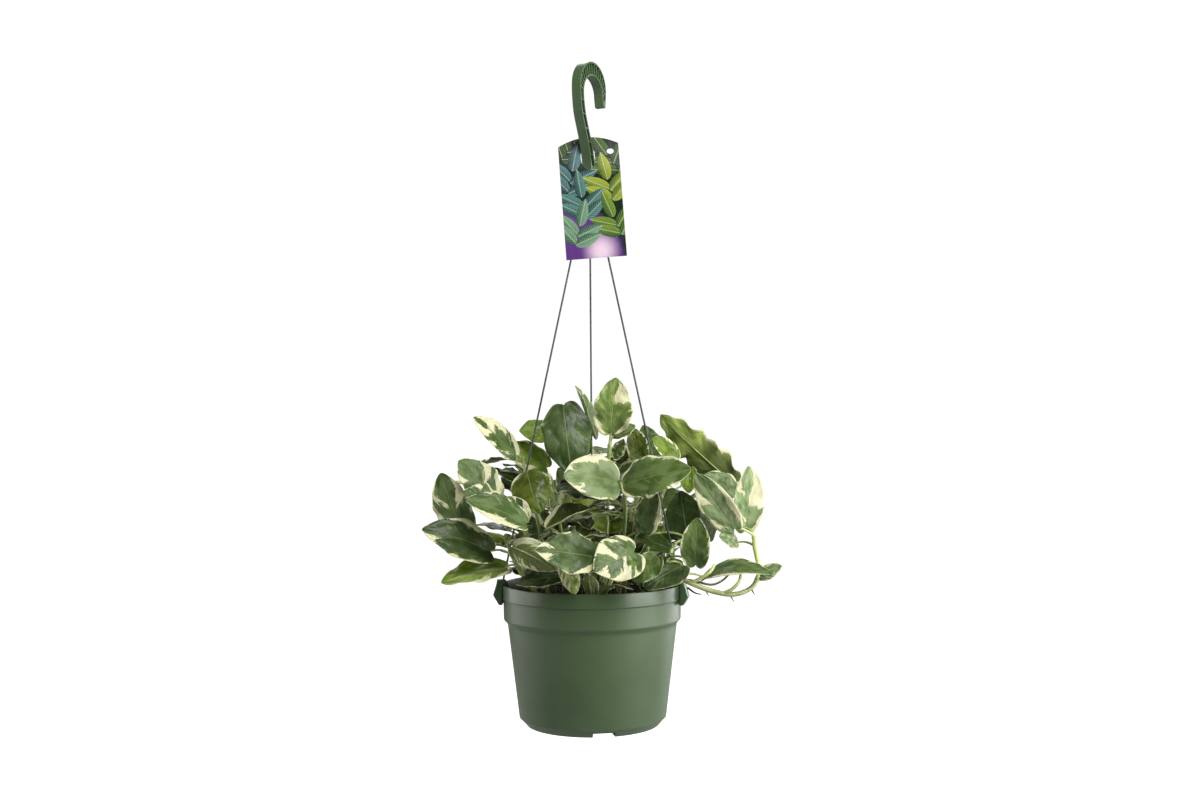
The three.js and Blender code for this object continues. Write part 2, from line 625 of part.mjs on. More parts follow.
// Leaves that come too close push each other apart, and away from stems, strands and the rim,
// while each keeps its length and is drawn back to its own place, less and less.
function settle(leaves, fixed) {
  const way = new THREE.Vector3();
  for (let pass = 0; pass < SETTLE_PASSES; pass += 1) {
    const all = leaves.map(leafSamples);
    const middles = leaves.map((leaf) => leaf.middle());
    const moves = leaves.map(() => ({ base: new THREE.Vector3(), tip: new THREE.Vector3(), count: 0 }));
    const push = (i, sample, amount) => {
      moves[i].base.addScaledVector(way, amount * sample.base);
      moves[i].tip.addScaledVector(way, amount * sample.tip);
      moves[i].count += 1;
    };
    for (let i = 0; i < leaves.length; i += 1) {
      for (let j = i + 1; j < leaves.length; j += 1) {
        const apart = middles[i].distanceTo(middles[j]);
        if (apart > leaves[i].span + leaves[j].span + SETTLE_GAP) continue;
        const parting = partingWay(leaves[i], leaves[j]);
        const total = leaves[i].ease + leaves[j].ease;
        for (const a of all[i]) {
          for (const b of all[j]) {
            const square = a.point.distanceToSquared(b.point);
            if (square >= SETTLE_GAP * SETTLE_GAP) continue;
            const distance = Math.sqrt(square);
            way.subVectors(a.point, b.point).divideScalar(Math.max(distance, 0.01));
            way.add(parting).normalize();
            push(i, a, (SETTLE_GAP - distance) * leaves[i].ease / total);
            push(j, b, (distance - SETTLE_GAP) * leaves[j].ease / total);
          }
        }
      }
      for (const spot of fixed) {
        if (spot.stem === leaves[i].stem) continue;
        if (spot.point.distanceTo(middles[i]) > leaves[i].span + leaves[i].length + spot.gap) continue;
        for (const a of all[i]) {
          const distance = a.point.distanceTo(spot.point);
          if (distance >= spot.gap) continue;
          way.subVectors(a.point, spot.point).divideScalar(Math.max(distance, 0.01));
          push(i, a, spot.gap - distance);
        }
      }
    }
    const pull = HOME_PULL * (1 - pass / (SETTLE_PASSES - FREE_PASSES));
    leaves.forEach((leaf, i) => {
      const { base, tip, count } = moves[i];
      const rate = 1.8 / Math.max(count, 3);
      leaf.base.addScaledVector(base, rate).lerp(leaf.home[0], Math.max(pull, 0));
      leaf.tip.addScaledVector(tip, rate).lerp(leaf.home[1], Math.max(pull, 0));
      const middle = leaf.middle();
      const half = leaf.tip.clone().sub(leaf.base).setLength(leaf.length / 2);
      leaf.base.copy(middle).sub(half);
      leaf.tip.copy(middle).add(half);
    });
  }
}

function makeLeaf(row, stem, curve, ease) {
  const [share, base, tip, up, width, cup, curl, lobe] = row;
  const leaf = {
    stem, ease, width, cup, lobe,
    root: curve.getPointAt(share), base: vec(base), tip: vec(tip), up: vec(up),
    curl: rad(curl), home: [vec(base), vec(tip)],
    middle() { return this.base.clone().lerp(this.tip, 0.5); },
    face() {
      const along = this.tip.clone().sub(this.base).normalize();
      return this.up.clone().addScaledVector(along, -this.up.dot(along)).normalize();
    },
  };
  leaf.length = leaf.base.distanceTo(leaf.tip);
  leaf.span = leaf.root.distanceTo(leaf.base) + leaf.length * 0.62;
  leaf.sag = leaf.root.distanceTo(leaf.base) * 0.12;
  return leaf;
}

// Blade: a thin curved plate, its two faces split alike, with a real ovate outline.
function bladeGeometry(leaf) {
  const positions = [];
  const index = [];
  const put = (u, s, lift) => {
    const [point, normal] = bladePoint(leaf, u, s);
    point.addScaledVector(normal, lift);
    positions.push(point.x, point.y, point.z);
  };
  const shares = leaf.length > LARGE_LEAF ? LARGE_BLADE_ROWS : BLADE_ROWS;
  for (const lift of [BLADE_THICKNESS / 2, -BLADE_THICKNESS / 2]) {
    for (const u of shares) {
      for (const s of [-1, 0, 1]) put(u, s, lift);
    }
    put(1, 0, lift);
  }
  const rows = shares.length;
  const face = 3 * rows + 1;
  const tip = 3 * rows;
  const tri = (a, b, c) => {
    index.push(a, b, c);
    index.push(a + face, c + face, b + face);
  };
  for (let r = 0; r < rows - 1; r += 1) {
    for (let c = 0; c < 2; c += 1) {
      const a = 3 * r + c;
      tri(a, a + 1, a + 3);
      tri(a + 1, a + 4, a + 3);
    }
  }
  tri(tip - 3, tip - 2, tip);
  tri(tip - 2, tip - 1, tip);
  const edge = [0, 1, 2];
  for (let r = 1; r < rows; r += 1) edge.push(3 * r + 2);
  edge.push(tip);
  for (let r = rows - 1; r > 0; r -= 1) edge.push(3 * r);
  for (let k = 0; k < edge.length; k += 1) {
    const a = edge[k];
    const b = edge[(k + 1) % edge.length];
    index.push(a, a + face, b);
    index.push(b, a + face, b + face);
  }
  const geometry = new THREE.BufferGeometry();
  geometry.setAttribute('position', new THREE.Float32BufferAttribute(positions, 3));
  geometry.setIndex(index);
  return geometry;
}

function petioleGeometry(leaf) {
  const points = [0, 0.5].map((share) => petiolePoint(leaf, share));
  points.push(bladePoint(leaf, 0.06, 0)[0]);
  points[0].addScaledVector(points[1].clone().sub(points[0]).normalize(), -1.2);
  return rod(new THREE.CatmullRomCurve3(points, false, 'centripetal'), PETIOLE_RADIUS, 3, 2);
}

// Stem, petioles and blades are one solid; a pocket shut in where they meet is filled.
function vineSolid(stem, leaves) {
  const curve = stemCurve(stem);
  const steps = Math.max(6, Math.round(curve.getLength() / 20));
  let vine = solidOf(rod(curve, STEM_RADIUS, 4, steps));
  for (const leaf of leaves) {
    vine = vine.add(solidOf(petioleGeometry(leaf)));
    vine = vine.add(solidOf(bladeGeometry(leaf)));
  }
  const outside = vine.decompose().filter((shell) => shell.volume() > 0);
  return wasm.Manifold.union(outside);
}

function fixedSpots(stems) {
  const spots = [];
  stems.forEach((stem, i) => {
    const curve = stemCurve(stem);
    const count = Math.round(curve.getLength() / 8);
    for (const point of curve.getSpacedPoints(count)) spots.push({ point, gap: 7, stem: i });
  });
  for (const azimuth of Object.values(CLIP_AZIMUTHS)) {
    const [top, foot] = strandEnds(azimuth);
    for (let k = 0; k <= 40; k += 1) {
      spots.push({ point: foot.clone().lerp(top, k / 60), gap: 7, stem: -1 });
    }
    spots.push({ point: foot, gap: 14, stem: -1 });
  }
  for (let k = 0; k < 72; k += 1) {
    const turn = rad(5 * k);
    spots.push({
      point: new THREE.Vector3(RIM_RADIUS * Math.cos(turn), RIM_RADIUS * Math.sin(turn), POT_HEIGHT - 4),
      gap: 8, stem: -1,
    });
  }
  return spots;
}

const plant = new THREE.Group();
const layout = new THREE.Group();
layout.position.z = -(HOOK_TOP - HOOK_CROWN_DEPTH);
plant.add(layout);

function add(name, solid, color, roughness, metalness = 0) {
  const material = new THREE.MeshStandardMaterial({ color, roughness, metalness });
  const mesh = new THREE.Mesh(geometryOf(solid), material);
  mesh.name = name;
  layout.add(mesh);
}

const stems = [...FRONT_STEMS, ...innerStems(), ...backStems()];
const leaves = [];
stems.forEach((stem, i) => {
  const curve = stemCurve(stem);
  for (const row of stem.leaves) {
    leaves.push(makeLeaf(row, i, curve, i < FRONT_STEMS.length ? 1 : 3));
  }
});
settle(leaves, fixedSpots(stems));

add('pot', potSolid(), 0x4a6b42, 0.45);
add('soil', soilSolid(stems.map((stem) => stem.foot)), 0x2e241b, 0.95);
add('hook', hookSolid(), 0x4c6a46, 0.4);
for (const [name, azimuth] of Object.entries(CLIP_AZIMUTHS)) {
  add(`clip_${name}`, clipSolid(azimuth), 0x4c6a46, 0.4);
  add(`strand_${name}`, strandSolid(azimuth), 0x3a4440, 0.5);
}
add('tag', tagSolid(), 0x6a4f86, 0.35);
stems.forEach((stem, i) => {
  const name = `vine_${String(i + 1).padStart(2, '0')}`;
  add(name, vineSolid(stem, leaves.filter((leaf) => leaf.stem === i)), 0x6f8f57, 0.45);
});

export default plant;
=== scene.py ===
import math
import bpy
import numpy as np
from mathutils import Matrix, Vector
from mathutils.bvhtree import BVHTree
from mathutils.kdtree import KDTree


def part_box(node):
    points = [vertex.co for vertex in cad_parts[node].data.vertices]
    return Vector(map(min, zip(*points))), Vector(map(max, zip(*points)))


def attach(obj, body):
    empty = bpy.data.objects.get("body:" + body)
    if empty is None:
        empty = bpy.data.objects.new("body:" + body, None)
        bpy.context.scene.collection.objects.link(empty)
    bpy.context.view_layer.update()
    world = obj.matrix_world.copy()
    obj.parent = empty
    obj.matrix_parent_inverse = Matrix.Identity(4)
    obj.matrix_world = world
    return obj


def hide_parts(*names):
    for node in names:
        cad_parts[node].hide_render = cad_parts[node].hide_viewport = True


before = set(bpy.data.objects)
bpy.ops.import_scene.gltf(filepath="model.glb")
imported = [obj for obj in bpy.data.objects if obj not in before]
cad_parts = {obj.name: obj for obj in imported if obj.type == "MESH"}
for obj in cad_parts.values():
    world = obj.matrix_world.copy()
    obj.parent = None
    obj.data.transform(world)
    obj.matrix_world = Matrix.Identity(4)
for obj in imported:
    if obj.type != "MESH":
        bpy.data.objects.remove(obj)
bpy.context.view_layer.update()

# Pot
# One moulding in dark green polypropylene: a rim band that stands proud, a shoulder below it, a
# tapered wall and a foot whose corner has four drain notches. Lengths are in millimetres above the
# pot's underside, and placed() takes them to the frame.
MM = 0.001
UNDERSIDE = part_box("pot")[0].z
RIM_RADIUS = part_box("pot")[1].x / MM
POT_HEIGHT = (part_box("pot")[1].z - UNDERSIDE) / MM
RIM_BAND = 15.5
RIM_POLISH = 0.06
RIM_BLUR = 0.5
SHOULDER_RADIUS = RIM_RADIUS - 1.6
SHOULDER_FOOT = 117
STEP_HEIGHT = 4.2
BODY_TOP_RADIUS = RIM_RADIUS - 6.2
BODY_FOOT_RADIUS = 81.4
FOOT_RADIUS = 73
FOOT_CHAMFER = 9
WALL = 2
POT_SEGMENTS = 192
NOTCH_COUNT = 4
NOTCH_SIZE = (31.4, 24, 6.5)
NOTCH_INNER_RADIUS = 54
NOTCH_TURN = -80.5
MOST_OF_A_SIDE = 0.45
ON_AXIS = 1e-6


def placed(points):
    """Points in millimetres above the pot's underside, in the frame's metres."""
    return np.asarray(points, float) * MM + (0, 0, UNDERSIDE)


def level(height):
    """A height above the pot's underside in the frame."""
    return height * MM + UNDERSIDE


def new_object(name, data):
    """An object at the origin, linked to the scene."""
    made = bpy.data.objects.new(name, data)
    bpy.context.scene.collection.objects.link(made)
    return made


def new_piece(name, points, faces, finish, edges=()):
    """A mesh object from points in millimetres, its faces or edges, and its finish if it has one."""
    mesh = bpy.data.meshes.new(name)
    mesh.from_pydata([tuple(p) for p in placed(points)], list(edges), faces)
    if finish:
        mesh.materials.append(finish)
    return new_object(name, mesh)


def cut_by(piece, operation, cutter):
    """A boolean cut, to be worked in with made_plain()."""
    cut = piece.modifiers.new("cut", "BOOLEAN")
    cut.operation = operation
    cut.solver = "EXACT"
    cut.object = cutter


def made_plain(piece):
    """The piece with its modifiers worked into its mesh."""
    graph = bpy.context.evaluated_depsgraph_get()
    shaped = piece.evaluated_get(graph)
    mesh = bpy.data.meshes.new_from_object(shaped, preserve_all_data_layers=True, depsgraph=graph)
    piece.modifiers.clear()
    piece.data = mesh
    return piece


def smoothed(piece, corner=32):
    """Smooth shading, with a hard edge where faces meet at more than the corner's degrees."""
    piece.data.shade_smooth()
    piece.data.set_sharp_from_angle(angle=math.radians(corner))


def rounded(outline, steps=4):
    """An outline of (x, y, fillet) corners as points, each fillet as a short arc."""
    points = []
    for i, (x, y, fillet) in enumerate(outline):
        here = np.array([x, y], float)
        if not fillet or i in (0, len(outline) - 1):
            points.append(here)
            continue
        back = np.array(outline[i - 1][:2], float) - here
        ahead = np.array(outline[i + 1][:2], float) - here
        reach = min(fillet, *(MOST_OF_A_SIDE * np.linalg.norm(side) for side in (back, ahead)))
        start = here + back / np.linalg.norm(back) * reach
        end = here + ahead / np.linalg.norm(ahead) * reach
        for k in range(steps + 1):
            t = k / steps
            points.append(start * (1 - t) ** 2 + here * 2 * t * (1 - t) + end * t * t)
    return points


def turned(profile, segments):
    """Points and faces of a profile of (radius, height) turned about the pot's axis."""
    points, rings, faces = [], [], []
    for radius, height in profile:
        count = segments if radius > ON_AXIS else 1
        rings.append(range(len(points), len(points) + count))
        for k in range(count):
            turn = 2 * math.pi * k / segments
            points.append((radius * math.cos(turn), radius * math.sin(turn), height))
    for low, high in zip(rings, rings[1:]):
        for k in range(segments):
            corners = [ring[j % len(ring)] for ring, j in ((low, k), (low, k + 1), (high, k + 1), (high, k))]
            faces.append(list(dict.fromkeys(corners)))
    return points, [face for face in faces if len(face) > 2]


def pixel_colour(red, green, blue):
    """A colour as a picture shows it, 0 to 255, in Blender's linear numbers."""
    def linear(value):
        value /= 255
        return value / 12.92 if value <= 0.04045 else ((value + 0.055) / 1.055) ** 2.4
    return (linear(red), linear(green), linear(blue), 1)


class Thread:
    """A value on its way through a node tree. Arithmetic on it lays the nodes."""

    def __init__(self, tree, socket):
        self.tree = tree
        self.socket = socket

    def to(self, slot):
        self.tree.links.new(self.socket, slot)

    def __add__(self, other):
        return worked(self.tree, "ADD", self, other)

    def __radd__(self, other):
        return worked(self.tree, "ADD", other, self)

    def __sub__(self, other):
        return worked(self.tree, "SUBTRACT", self, other)

    def __rsub__(self, other):
        return worked(self.tree, "SUBTRACT", other, self)

    def __mul__(self, other):
        return worked(self.tree, "MULTIPLY", self, other)

    def __rmul__(self, other):
        return worked(self.tree, "MULTIPLY", other, self)

    def __truediv__(self, other):
        return worked(self.tree, "DIVIDE", self, other)

    def __pow__(self, other):
        return worked(self.tree, "POWER", self, other)

    def __abs__(self):
        return worked(self.tree, "ABSOLUTE", self)


def fed(tree, slot, value):
    """Gives an input a thread or a plain value."""
    if isinstance(value, Thread):
        value.to(slot)
    else:
        slot.default_value = value


def worked(tree, operation, *values):
    """A Math node."""
    node = tree.nodes.new("ShaderNodeMath")
    node.operation = operation
    for slot, value in zip(node.inputs, values):
        fed(tree, slot, value)
    return Thread(tree, node.outputs[0])


def laid(tree, kind, output=0, settings=None, **inputs):
    """Any node, its settings and its named inputs. Spaces in a name are written as _."""
    node = tree.nodes.new(kind)
    for name, value in (settings or {}).items():
        setattr(node, name, value)
    for name, value in inputs.items():
        slot = next(s for s in node.inputs if s.name.replace(" ", "_") == name and s.enabled)
        fed(tree, slot, value)
    return Thread(tree, node.outputs[output])


def noise(tree, where, scale, detail=2.0, roughness=0.5):
    return laid(tree, "ShaderNodeTexNoise", Vector=where, Scale=scale, Detail=detail, Roughness=roughness)


def eased(tree, value, low, high):
    """0 below low, 1 above high, smooth between."""
    return laid(tree, "ShaderNodeMapRange", settings={"interpolation_type": "SMOOTHSTEP"},
                Value=value, From_Min=low, From_Max=high)


def blended(tree, share, first, second, mode="MIX"):
    """A colour between two colours."""
    node = tree.nodes.new("ShaderNodeMix")
    node.data_type = "RGBA"
    node.blend_type = mode
    slots = [s for s in node.inputs if s.enabled]
    for slot, value in zip(slots, (share, first, second)):
        fed(tree, slot, value)
    return Thread(tree, next(s for s in node.outputs if s.enabled))


def bumped(tree, height, distance, strength=1.0):
    return laid(tree, "ShaderNodeBump", Height=height, Distance=distance, Strength=strength)


def new_finish(name):
    """A material with its tree and its Principled shader."""
    finish = bpy.data.materials.new(name)
    finish.use_nodes = True
    return finish, finish.node_tree, finish.node_tree.nodes["Principled BSDF"]


def new_group(name, kind, inputs, outputs):
    """A node group with named sockets, its inputs by name as threads, and its output node."""
    group = bpy.data.node_groups.new(name, kind)
    for socket, socket_type, value in inputs:
        made = group.interface.new_socket(socket, in_out="INPUT", socket_type=socket_type)
        if value is not None:
            made.default_value = value
    for socket, socket_type in outputs:
        group.interface.new_socket(socket, in_out="OUTPUT", socket_type=socket_type)
    given = group.nodes.new("NodeGroupInput")
    get = {socket.name: Thread(group, socket) for socket in given.outputs if socket.name}
    return group, get, group.nodes.new("NodeGroupOutput")


def moulded_skin():
    """What every moulded piece shows: cloudy colour, a fine satin grain and dull handling marks."""
    group, get, gives = new_group(
        "moulded skin", "ShaderNodeTree",
        [("Grain Scale", "NodeSocketFloat", 1500.0), ("Cloud Scale", "NodeSocketFloat", 14.0),
         ("Roughness", "NodeSocketFloat", 0.4), ("Wear", "NodeSocketFloat", 0.1)],
        [("Tone", "NodeSocketFloat"), ("Roughness", "NodeSocketFloat"), ("Height", "NodeSocketFloat")])
    at = laid(group, "ShaderNodeTexCoord", output=3)
    cloud = noise(group, at, get["Cloud Scale"], detail=3.0)
    grain = noise(group, at, get["Grain Scale"], detail=1.0)
    marks = eased(group, noise(group, at, get["Cloud Scale"] * 6.0, detail=5.0, roughness=0.7), 0.5, 0.8)
    fed(group, gives.inputs["Tone"], cloud - 0.5 + (grain - 0.5) * 0.25)
    fed(group, gives.inputs["Roughness"], get["Roughness"] + (cloud - 0.5) * 0.16 + marks * get["Wear"])
    fed(group, gives.inputs["Height"], grain + cloud * 0.6)
    return group


def moulded_finish(name, dark, light, roughness, wear, grain_depth):
    """Moulded polypropylene between two shades of its colour."""
    finish, tree, surface = new_finish(name)
    skin = tree.nodes.new("ShaderNodeGroup")
    skin.node_tree = MOULDED_SKIN
    skin.inputs["Roughness"].default_value = roughness
    skin.inputs["Wear"].default_value = wear
    tone = eased(tree, Thread(tree, skin.outputs["Tone"]), -0.3, 0.3)
    fed(tree, surface.inputs["Base Color"], blended(tree, tone, dark, light))
    fed(tree, surface.inputs["Roughness"], Thread(tree, skin.outputs["Roughness"]))
    fed(tree, surface.inputs["Normal"], bumped(tree, Thread(tree, skin.outputs["Height"]), grain_depth))
    surface.inputs["IOR"].default_value = 1.49
    return finish


MOULDED_SKIN = moulded_skin()
pot_finish = moulded_finish("pot polypropylene", pixel_colour(58, 77, 48), pixel_colour(70, 89, 57),
                            roughness=0.36, wear=0.12, grain_depth=0.00004)
tree, surface = pot_finish.node_tree, pot_finish.node_tree.nodes["Principled BSDF"]
height = laid(tree, "ShaderNodeSeparateXYZ", output=2, Vector=laid(tree, "ShaderNodeTexCoord", output=3))
band = eased(tree, height - level(POT_HEIGHT - RIM_BAND), -RIM_BLUR * MM, RIM_BLUR * MM)
matt = Thread(tree, surface.inputs["Roughness"].links[0].from_socket)
fed(tree, surface.inputs["Roughness"], matt - band * RIM_POLISH)

# The corners are given from the middle of the underside out, up the wall and back down inside, each
# with its radius, height and fillet.
rim_foot = POT_HEIGHT - RIM_BAND
pot_outline = [
    (0, 0, 0),
    (FOOT_RADIUS, 0, 1.2),
    (BODY_FOOT_RADIUS - 1, FOOT_CHAMFER - 0.6, 0.8),
    (BODY_FOOT_RADIUS, FOOT_CHAMFER, 0.4),
    (BODY_TOP_RADIUS, SHOULDER_FOOT - STEP_HEIGHT, 2.5),
    (SHOULDER_RADIUS - 0.4, SHOULDER_FOOT, 1.5),
    (SHOULDER_RADIUS, rim_foot - 0.4, 0.4),
    (RIM_RADIUS, rim_foot, 0.7),
    (RIM_RADIUS, POT_HEIGHT, 1.3),
    (RIM_RADIUS - WALL - 0.4, POT_HEIGHT, 0.8),
    (SHOULDER_RADIUS - WALL, rim_foot - 2, 1),
    (SHOULDER_RADIUS - WALL - 0.4, SHOULDER_FOOT + 0.8, 1),
    (BODY_TOP_RADIUS - WALL, SHOULDER_FOOT - STEP_HEIGHT, 1),
    (BODY_FOOT_RADIUS - WALL, FOOT_CHAMFER + 1, 2),
    (FOOT_RADIUS + 2, WALL, 2),
    (0, WALL, 0),
]
pot = new_piece("pot_moulding", *turned(rounded(pot_outline), POT_SEGMENTS), pot_finish)

notch_points, notch_faces = [], []
for k in range(NOTCH_COUNT):
    turn = Matrix.Rotation(math.radians(NOTCH_TURN + k * 360 / NOTCH_COUNT), 3, "Z")
    first = len(notch_points)
    for z in (0, 1):
        for x, y in ((0, -1), (1, -1), (1, 1), (0, 1)):
            corner = (NOTCH_INNER_RADIUS + x * NOTCH_SIZE[0], y * NOTCH_SIZE[1] / 2, z * NOTCH_SIZE[2] - 1)
            notch_points.append(turn @ Vector(corner))
    for face in [(3, 2, 1, 0), (4, 5, 6, 7), (0, 1, 5, 4), (1, 2, 6, 5), (2, 3, 7, 6), (3, 0, 4, 7)]:
        notch_faces.append([first + corner for corner in face])
notches = new_piece("notches", notch_points, notch_faces, None)
cut_by(pot, "DIFFERENCE", notches)
made_plain(pot)
bpy.data.objects.remove(notches)
smoothed(pot)
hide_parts("pot")
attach(pot, "root")

# Potting mix
# Peat and fine bark that fill the pot to a low crown inside the rim. Crumbs of bark and a few white
# grains of perlite lie loose on top.
SOIL_EDGE_HEIGHT = 134
SOIL_CROWN = 8
SOIL_EDGE = SHOULDER_RADIUS - WALL - 0.75
SOIL_SEGMENTS = 120
SOIL_RINGS = 44
CRUMBS_PER_M2 = 42000
CRUMB_SIZE = 2.4
CLOD_HEIGHT = 3.5


def soil_height(radius):
    """How high the mix stands at a distance from the axis: a low crown."""
    share = radius / (SHOULDER_RADIUS - WALL)
    return SOIL_EDGE_HEIGHT + SOIL_CROWN * (1 - share * share)


soil_finish, tree, surface = new_finish("potting mix")
at = laid(tree, "ShaderNodeTexCoord", output=3)
coarse = noise(tree, at, 240.0, detail=4.0, roughness=0.65)
fine = noise(tree, at, 1500.0, detail=3.0, roughness=0.7)
bark = eased(tree, coarse, 0.38, 0.66)
earth = blended(tree, bark, pixel_colour(30, 23, 17), pixel_colour(74, 55, 38))
perlite = eased(tree, noise(tree, at, 330.0, detail=0.0), 0.76, 0.78)
fed(tree, surface.inputs["Base Color"], blended(tree, perlite, earth, pixel_colour(190, 186, 172)))
fed(tree, surface.inputs["Roughness"], 0.84 + (fine - 0.5) * 0.3)
fed(tree, surface.inputs["Normal"], bumped(tree, coarse * 2.0 + fine, 0.0012))
surface.inputs["Specular IOR Level"].default_value = 0.25

# Its underside steps over the drain notches, and its side follows the pot's wall.
soil_outline = [(0, WALL + 0.4), (50, WALL + 0.4), (54, 6.5), (77.4, 6.5), (79, 11),
                (BODY_TOP_RADIUS - WALL - 0.4, SHOULDER_FOOT - STEP_HEIGHT),
                (SOIL_EDGE - 0.2, SHOULDER_FOOT + 1)]
for k in range(SOIL_RINGS + 1):
    radius = SOIL_EDGE * (1 - k / SOIL_RINGS)
    soil_outline.append((radius, soil_height(radius)))
soil_points, soil_faces = turned(soil_outline, SOIL_SEGMENTS)
soil = new_piece("potting_mix_fill", soil_points, soil_faces, soil_finish)
smoothed(soil, corner=60)


def scaled(tree, vector, amount):
    return laid(tree, "ShaderNodeVectorMath", settings={"operation": "SCALE"}, Vector=vector, Scale=amount)


def joined(tree, *parts):
    """A Join Geometry node."""
    node = tree.nodes.new("GeometryNodeJoinGeometry")
    for part in parts:
        part.to(node.inputs[0])
    return Thread(tree, node.outputs[0])


def crumb_tree():
    """Strews crumbs over the top of what it is given and lifts the surface into clods."""
    tree, get, gives = new_group(
        "strewn crumbs", "GeometryNodeTree",
        [("Geometry", "NodeSocketGeometry", None), ("Crumbs per Area", "NodeSocketFloat", 1.0),
         ("Crumb Size", "NodeSocketFloat", 1.0), ("Clod Height", "NodeSocketFloat", 0.0),
         ("Crumb Finish", "NodeSocketMaterial", None)],
        [("Geometry", "NodeSocketGeometry")])
    position = laid(tree, "GeometryNodeInputPosition")
    normal = laid(tree, "GeometryNodeInputNormal")
    upright = laid(tree, "ShaderNodeSeparateXYZ", output=2, Vector=normal)
    on_top = worked(tree, "GREATER_THAN", upright, 0.7)
    clods = (noise(tree, position, 130.0, detail=3.0) - 0.5) * get["Clod Height"] * on_top
    lift = laid(tree, "ShaderNodeCombineXYZ", Z=clods)
    ground = laid(tree, "GeometryNodeSetPosition", Geometry=get["Geometry"], Offset=lift)
    strewn = tree.nodes.new("GeometryNodeDistributePointsOnFaces")
    fed(tree, strewn.inputs["Mesh"], ground)
    fed(tree, strewn.inputs["Selection"], on_top)
    fed(tree, strewn.inputs["Density"], get["Crumbs per Area"])
    strewn.inputs["Seed"].default_value = 5
    crumb = laid(tree, "GeometryNodeMeshIcoSphere", Radius=1.0, Subdivisions=1)
    sizes = laid(tree, "FunctionNodeRandomValue", settings={"data_type": "FLOAT_VECTOR"},
                 Min=(0.25, 0.2, 0.15), Max=(1.0, 0.6, 0.5), Seed=11)
    turns = laid(tree, "FunctionNodeRandomValue", settings={"data_type": "FLOAT_VECTOR"},
                 Min=(0.0, 0.0, 0.0), Max=(6.28, 6.28, 6.28), Seed=12)
    heap = laid(tree, "GeometryNodeInstanceOnPoints", Points=Thread(tree, strewn.outputs["Points"]),
                Instance=crumb, Scale=scaled(tree, sizes, get["Crumb Size"]), Rotation=turns)
    loose = laid(tree, "GeometryNodeRealizeInstances", Geometry=heap)
    loose = laid(tree, "GeometryNodeSetMaterial", Geometry=loose, Material=get["Crumb Finish"])
    joined(tree, loose, ground).to(gives.inputs["Geometry"])
    return tree


def grown(piece, tree, **inputs):
    """Runs a Geometry Nodes tree on a piece and keeps the result as its plain mesh."""
    modifier = piece.modifiers.new(tree.name, "NODES")
    modifier.node_group = tree
    for socket in tree.interface.items_tree:
        if socket.name.replace(" ", "_") in inputs:
            modifier[socket.identifier] = inputs[socket.name.replace(" ", "_")]
    return made_plain(piece)


grown(soil, crumb_tree(), Crumbs_per_Area=float(CRUMBS_PER_M2), Crumb_Size=CRUMB_SIZE * MM,
      Clod_Height=CLOD_HEIGHT * MM, Crumb_Finish=soil_finish)
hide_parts("soil")
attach(soil, "root")

# Hook
# A moulded J in the pot's plastic: two flanges and a web, stiffened by cross ribs, solid at its tip
# and at the hub where the strands are held. It is laid out upright and then turned about the axis.
HOOK_TOP = 733.3
HOOK_OUTER_RADIUS = 28
HOOK_INNER_RADIUS = 20.5
HOOK_CROWN_DEPTH = 15.5
HOOK_WIDTH = 11.2
HOOK_TURN = 60
HOOK_EDGE = 0.45
FLANGE = 1.8
WEB = 2.4
RIB = 1.2
CROWN_RIB_PITCH = 12
HUB_BOTTOM = 590
STEPS_A_SPAN = 5
SAME_PLACE = 0.0001
SOLID_WEB = HOOK_WIDTH / 2 - 0.02
CORNERS = 12


def curve_points(points, shares):
    """Points of a centripetal Catmull-Rom curve at shares of its points' count."""
    points = np.asarray(points, float)
    last = len(points) - 1
    padded = np.vstack([2 * points[0] - points[1], points, 2 * points[-1] - points[-2]])
    made = []
    for share in shares:
        span = min(int(share * last), last - 1)
        t = share * last - span
        p = padded[span:span + 4]
        gap = np.maximum(np.linalg.norm(np.diff(p, axis=0), axis=1), 1e-8) ** 0.5
        if gap[1] < SAME_PLACE:
            gap[1] = 1.0
        start = ((p[1] - p[0]) / gap[0] - (p[2] - p[0]) / (gap[0] + gap[1]) + (p[2] - p[1]) / gap[1]) * gap[1]
        end = ((p[2] - p[1]) / gap[1] - (p[3] - p[1]) / (gap[1] + gap[2]) + (p[3] - p[2]) / gap[2]) * gap[1]
        bend = -3 * p[1] + 3 * p[2] - 2 * start - end
        twist = 2 * p[1] - 2 * p[2] + start + end
        made.append(p[1] + start * t + bend * t * t + twist * t ** 3)
    return np.array(made)


# Sections from the tip over the crown and down the shank to the hub, each with its outer and its
# inner edge, across and up.
outer_centre = HOOK_TOP - HOOK_OUTER_RADIUS
inner_centre = HOOK_TOP - HOOK_CROWN_DEPTH - HOOK_INNER_RADIUS
sections = [[[26.6, 686.5], [22.4, 687.5]], [[27.6, 696], [21.4, 692.5]]]
for degrees in range(0, 181, CROWN_RIB_PITCH):
    c, s = math.cos(math.radians(degrees)), math.sin(math.radians(degrees))
    sections.append([[HOOK_OUTER_RADIUS * c, outer_centre + HOOK_OUTER_RADIUS * s],
                     [HOOK_INNER_RADIUS * c, inner_centre + HOOK_INNER_RADIUS * s]])
sections += [[[-27.4, 690], [-19.4, 687]], [[-24.5, 674], [-15.8, 672]], [[-18.7, 659], [-9.8, 657]],
             [[-13, 645], [-4, 643]], [[-8.8, 631], [0.4, 630]], [[-6.2, 618], [4, 617]],
             [[-5.6, 606], [5.6, 606]], [[-5.6, HUB_BOTTOM], [5.6, HUB_BOTTOM]]]
spans = len(sections) - 1
shares = np.linspace(0, 1, spans * STEPS_A_SPAN + 1)
outer_line = curve_points([section[0] for section in sections], shares)
inner_line = curve_points([section[1] for section in sections], shares)
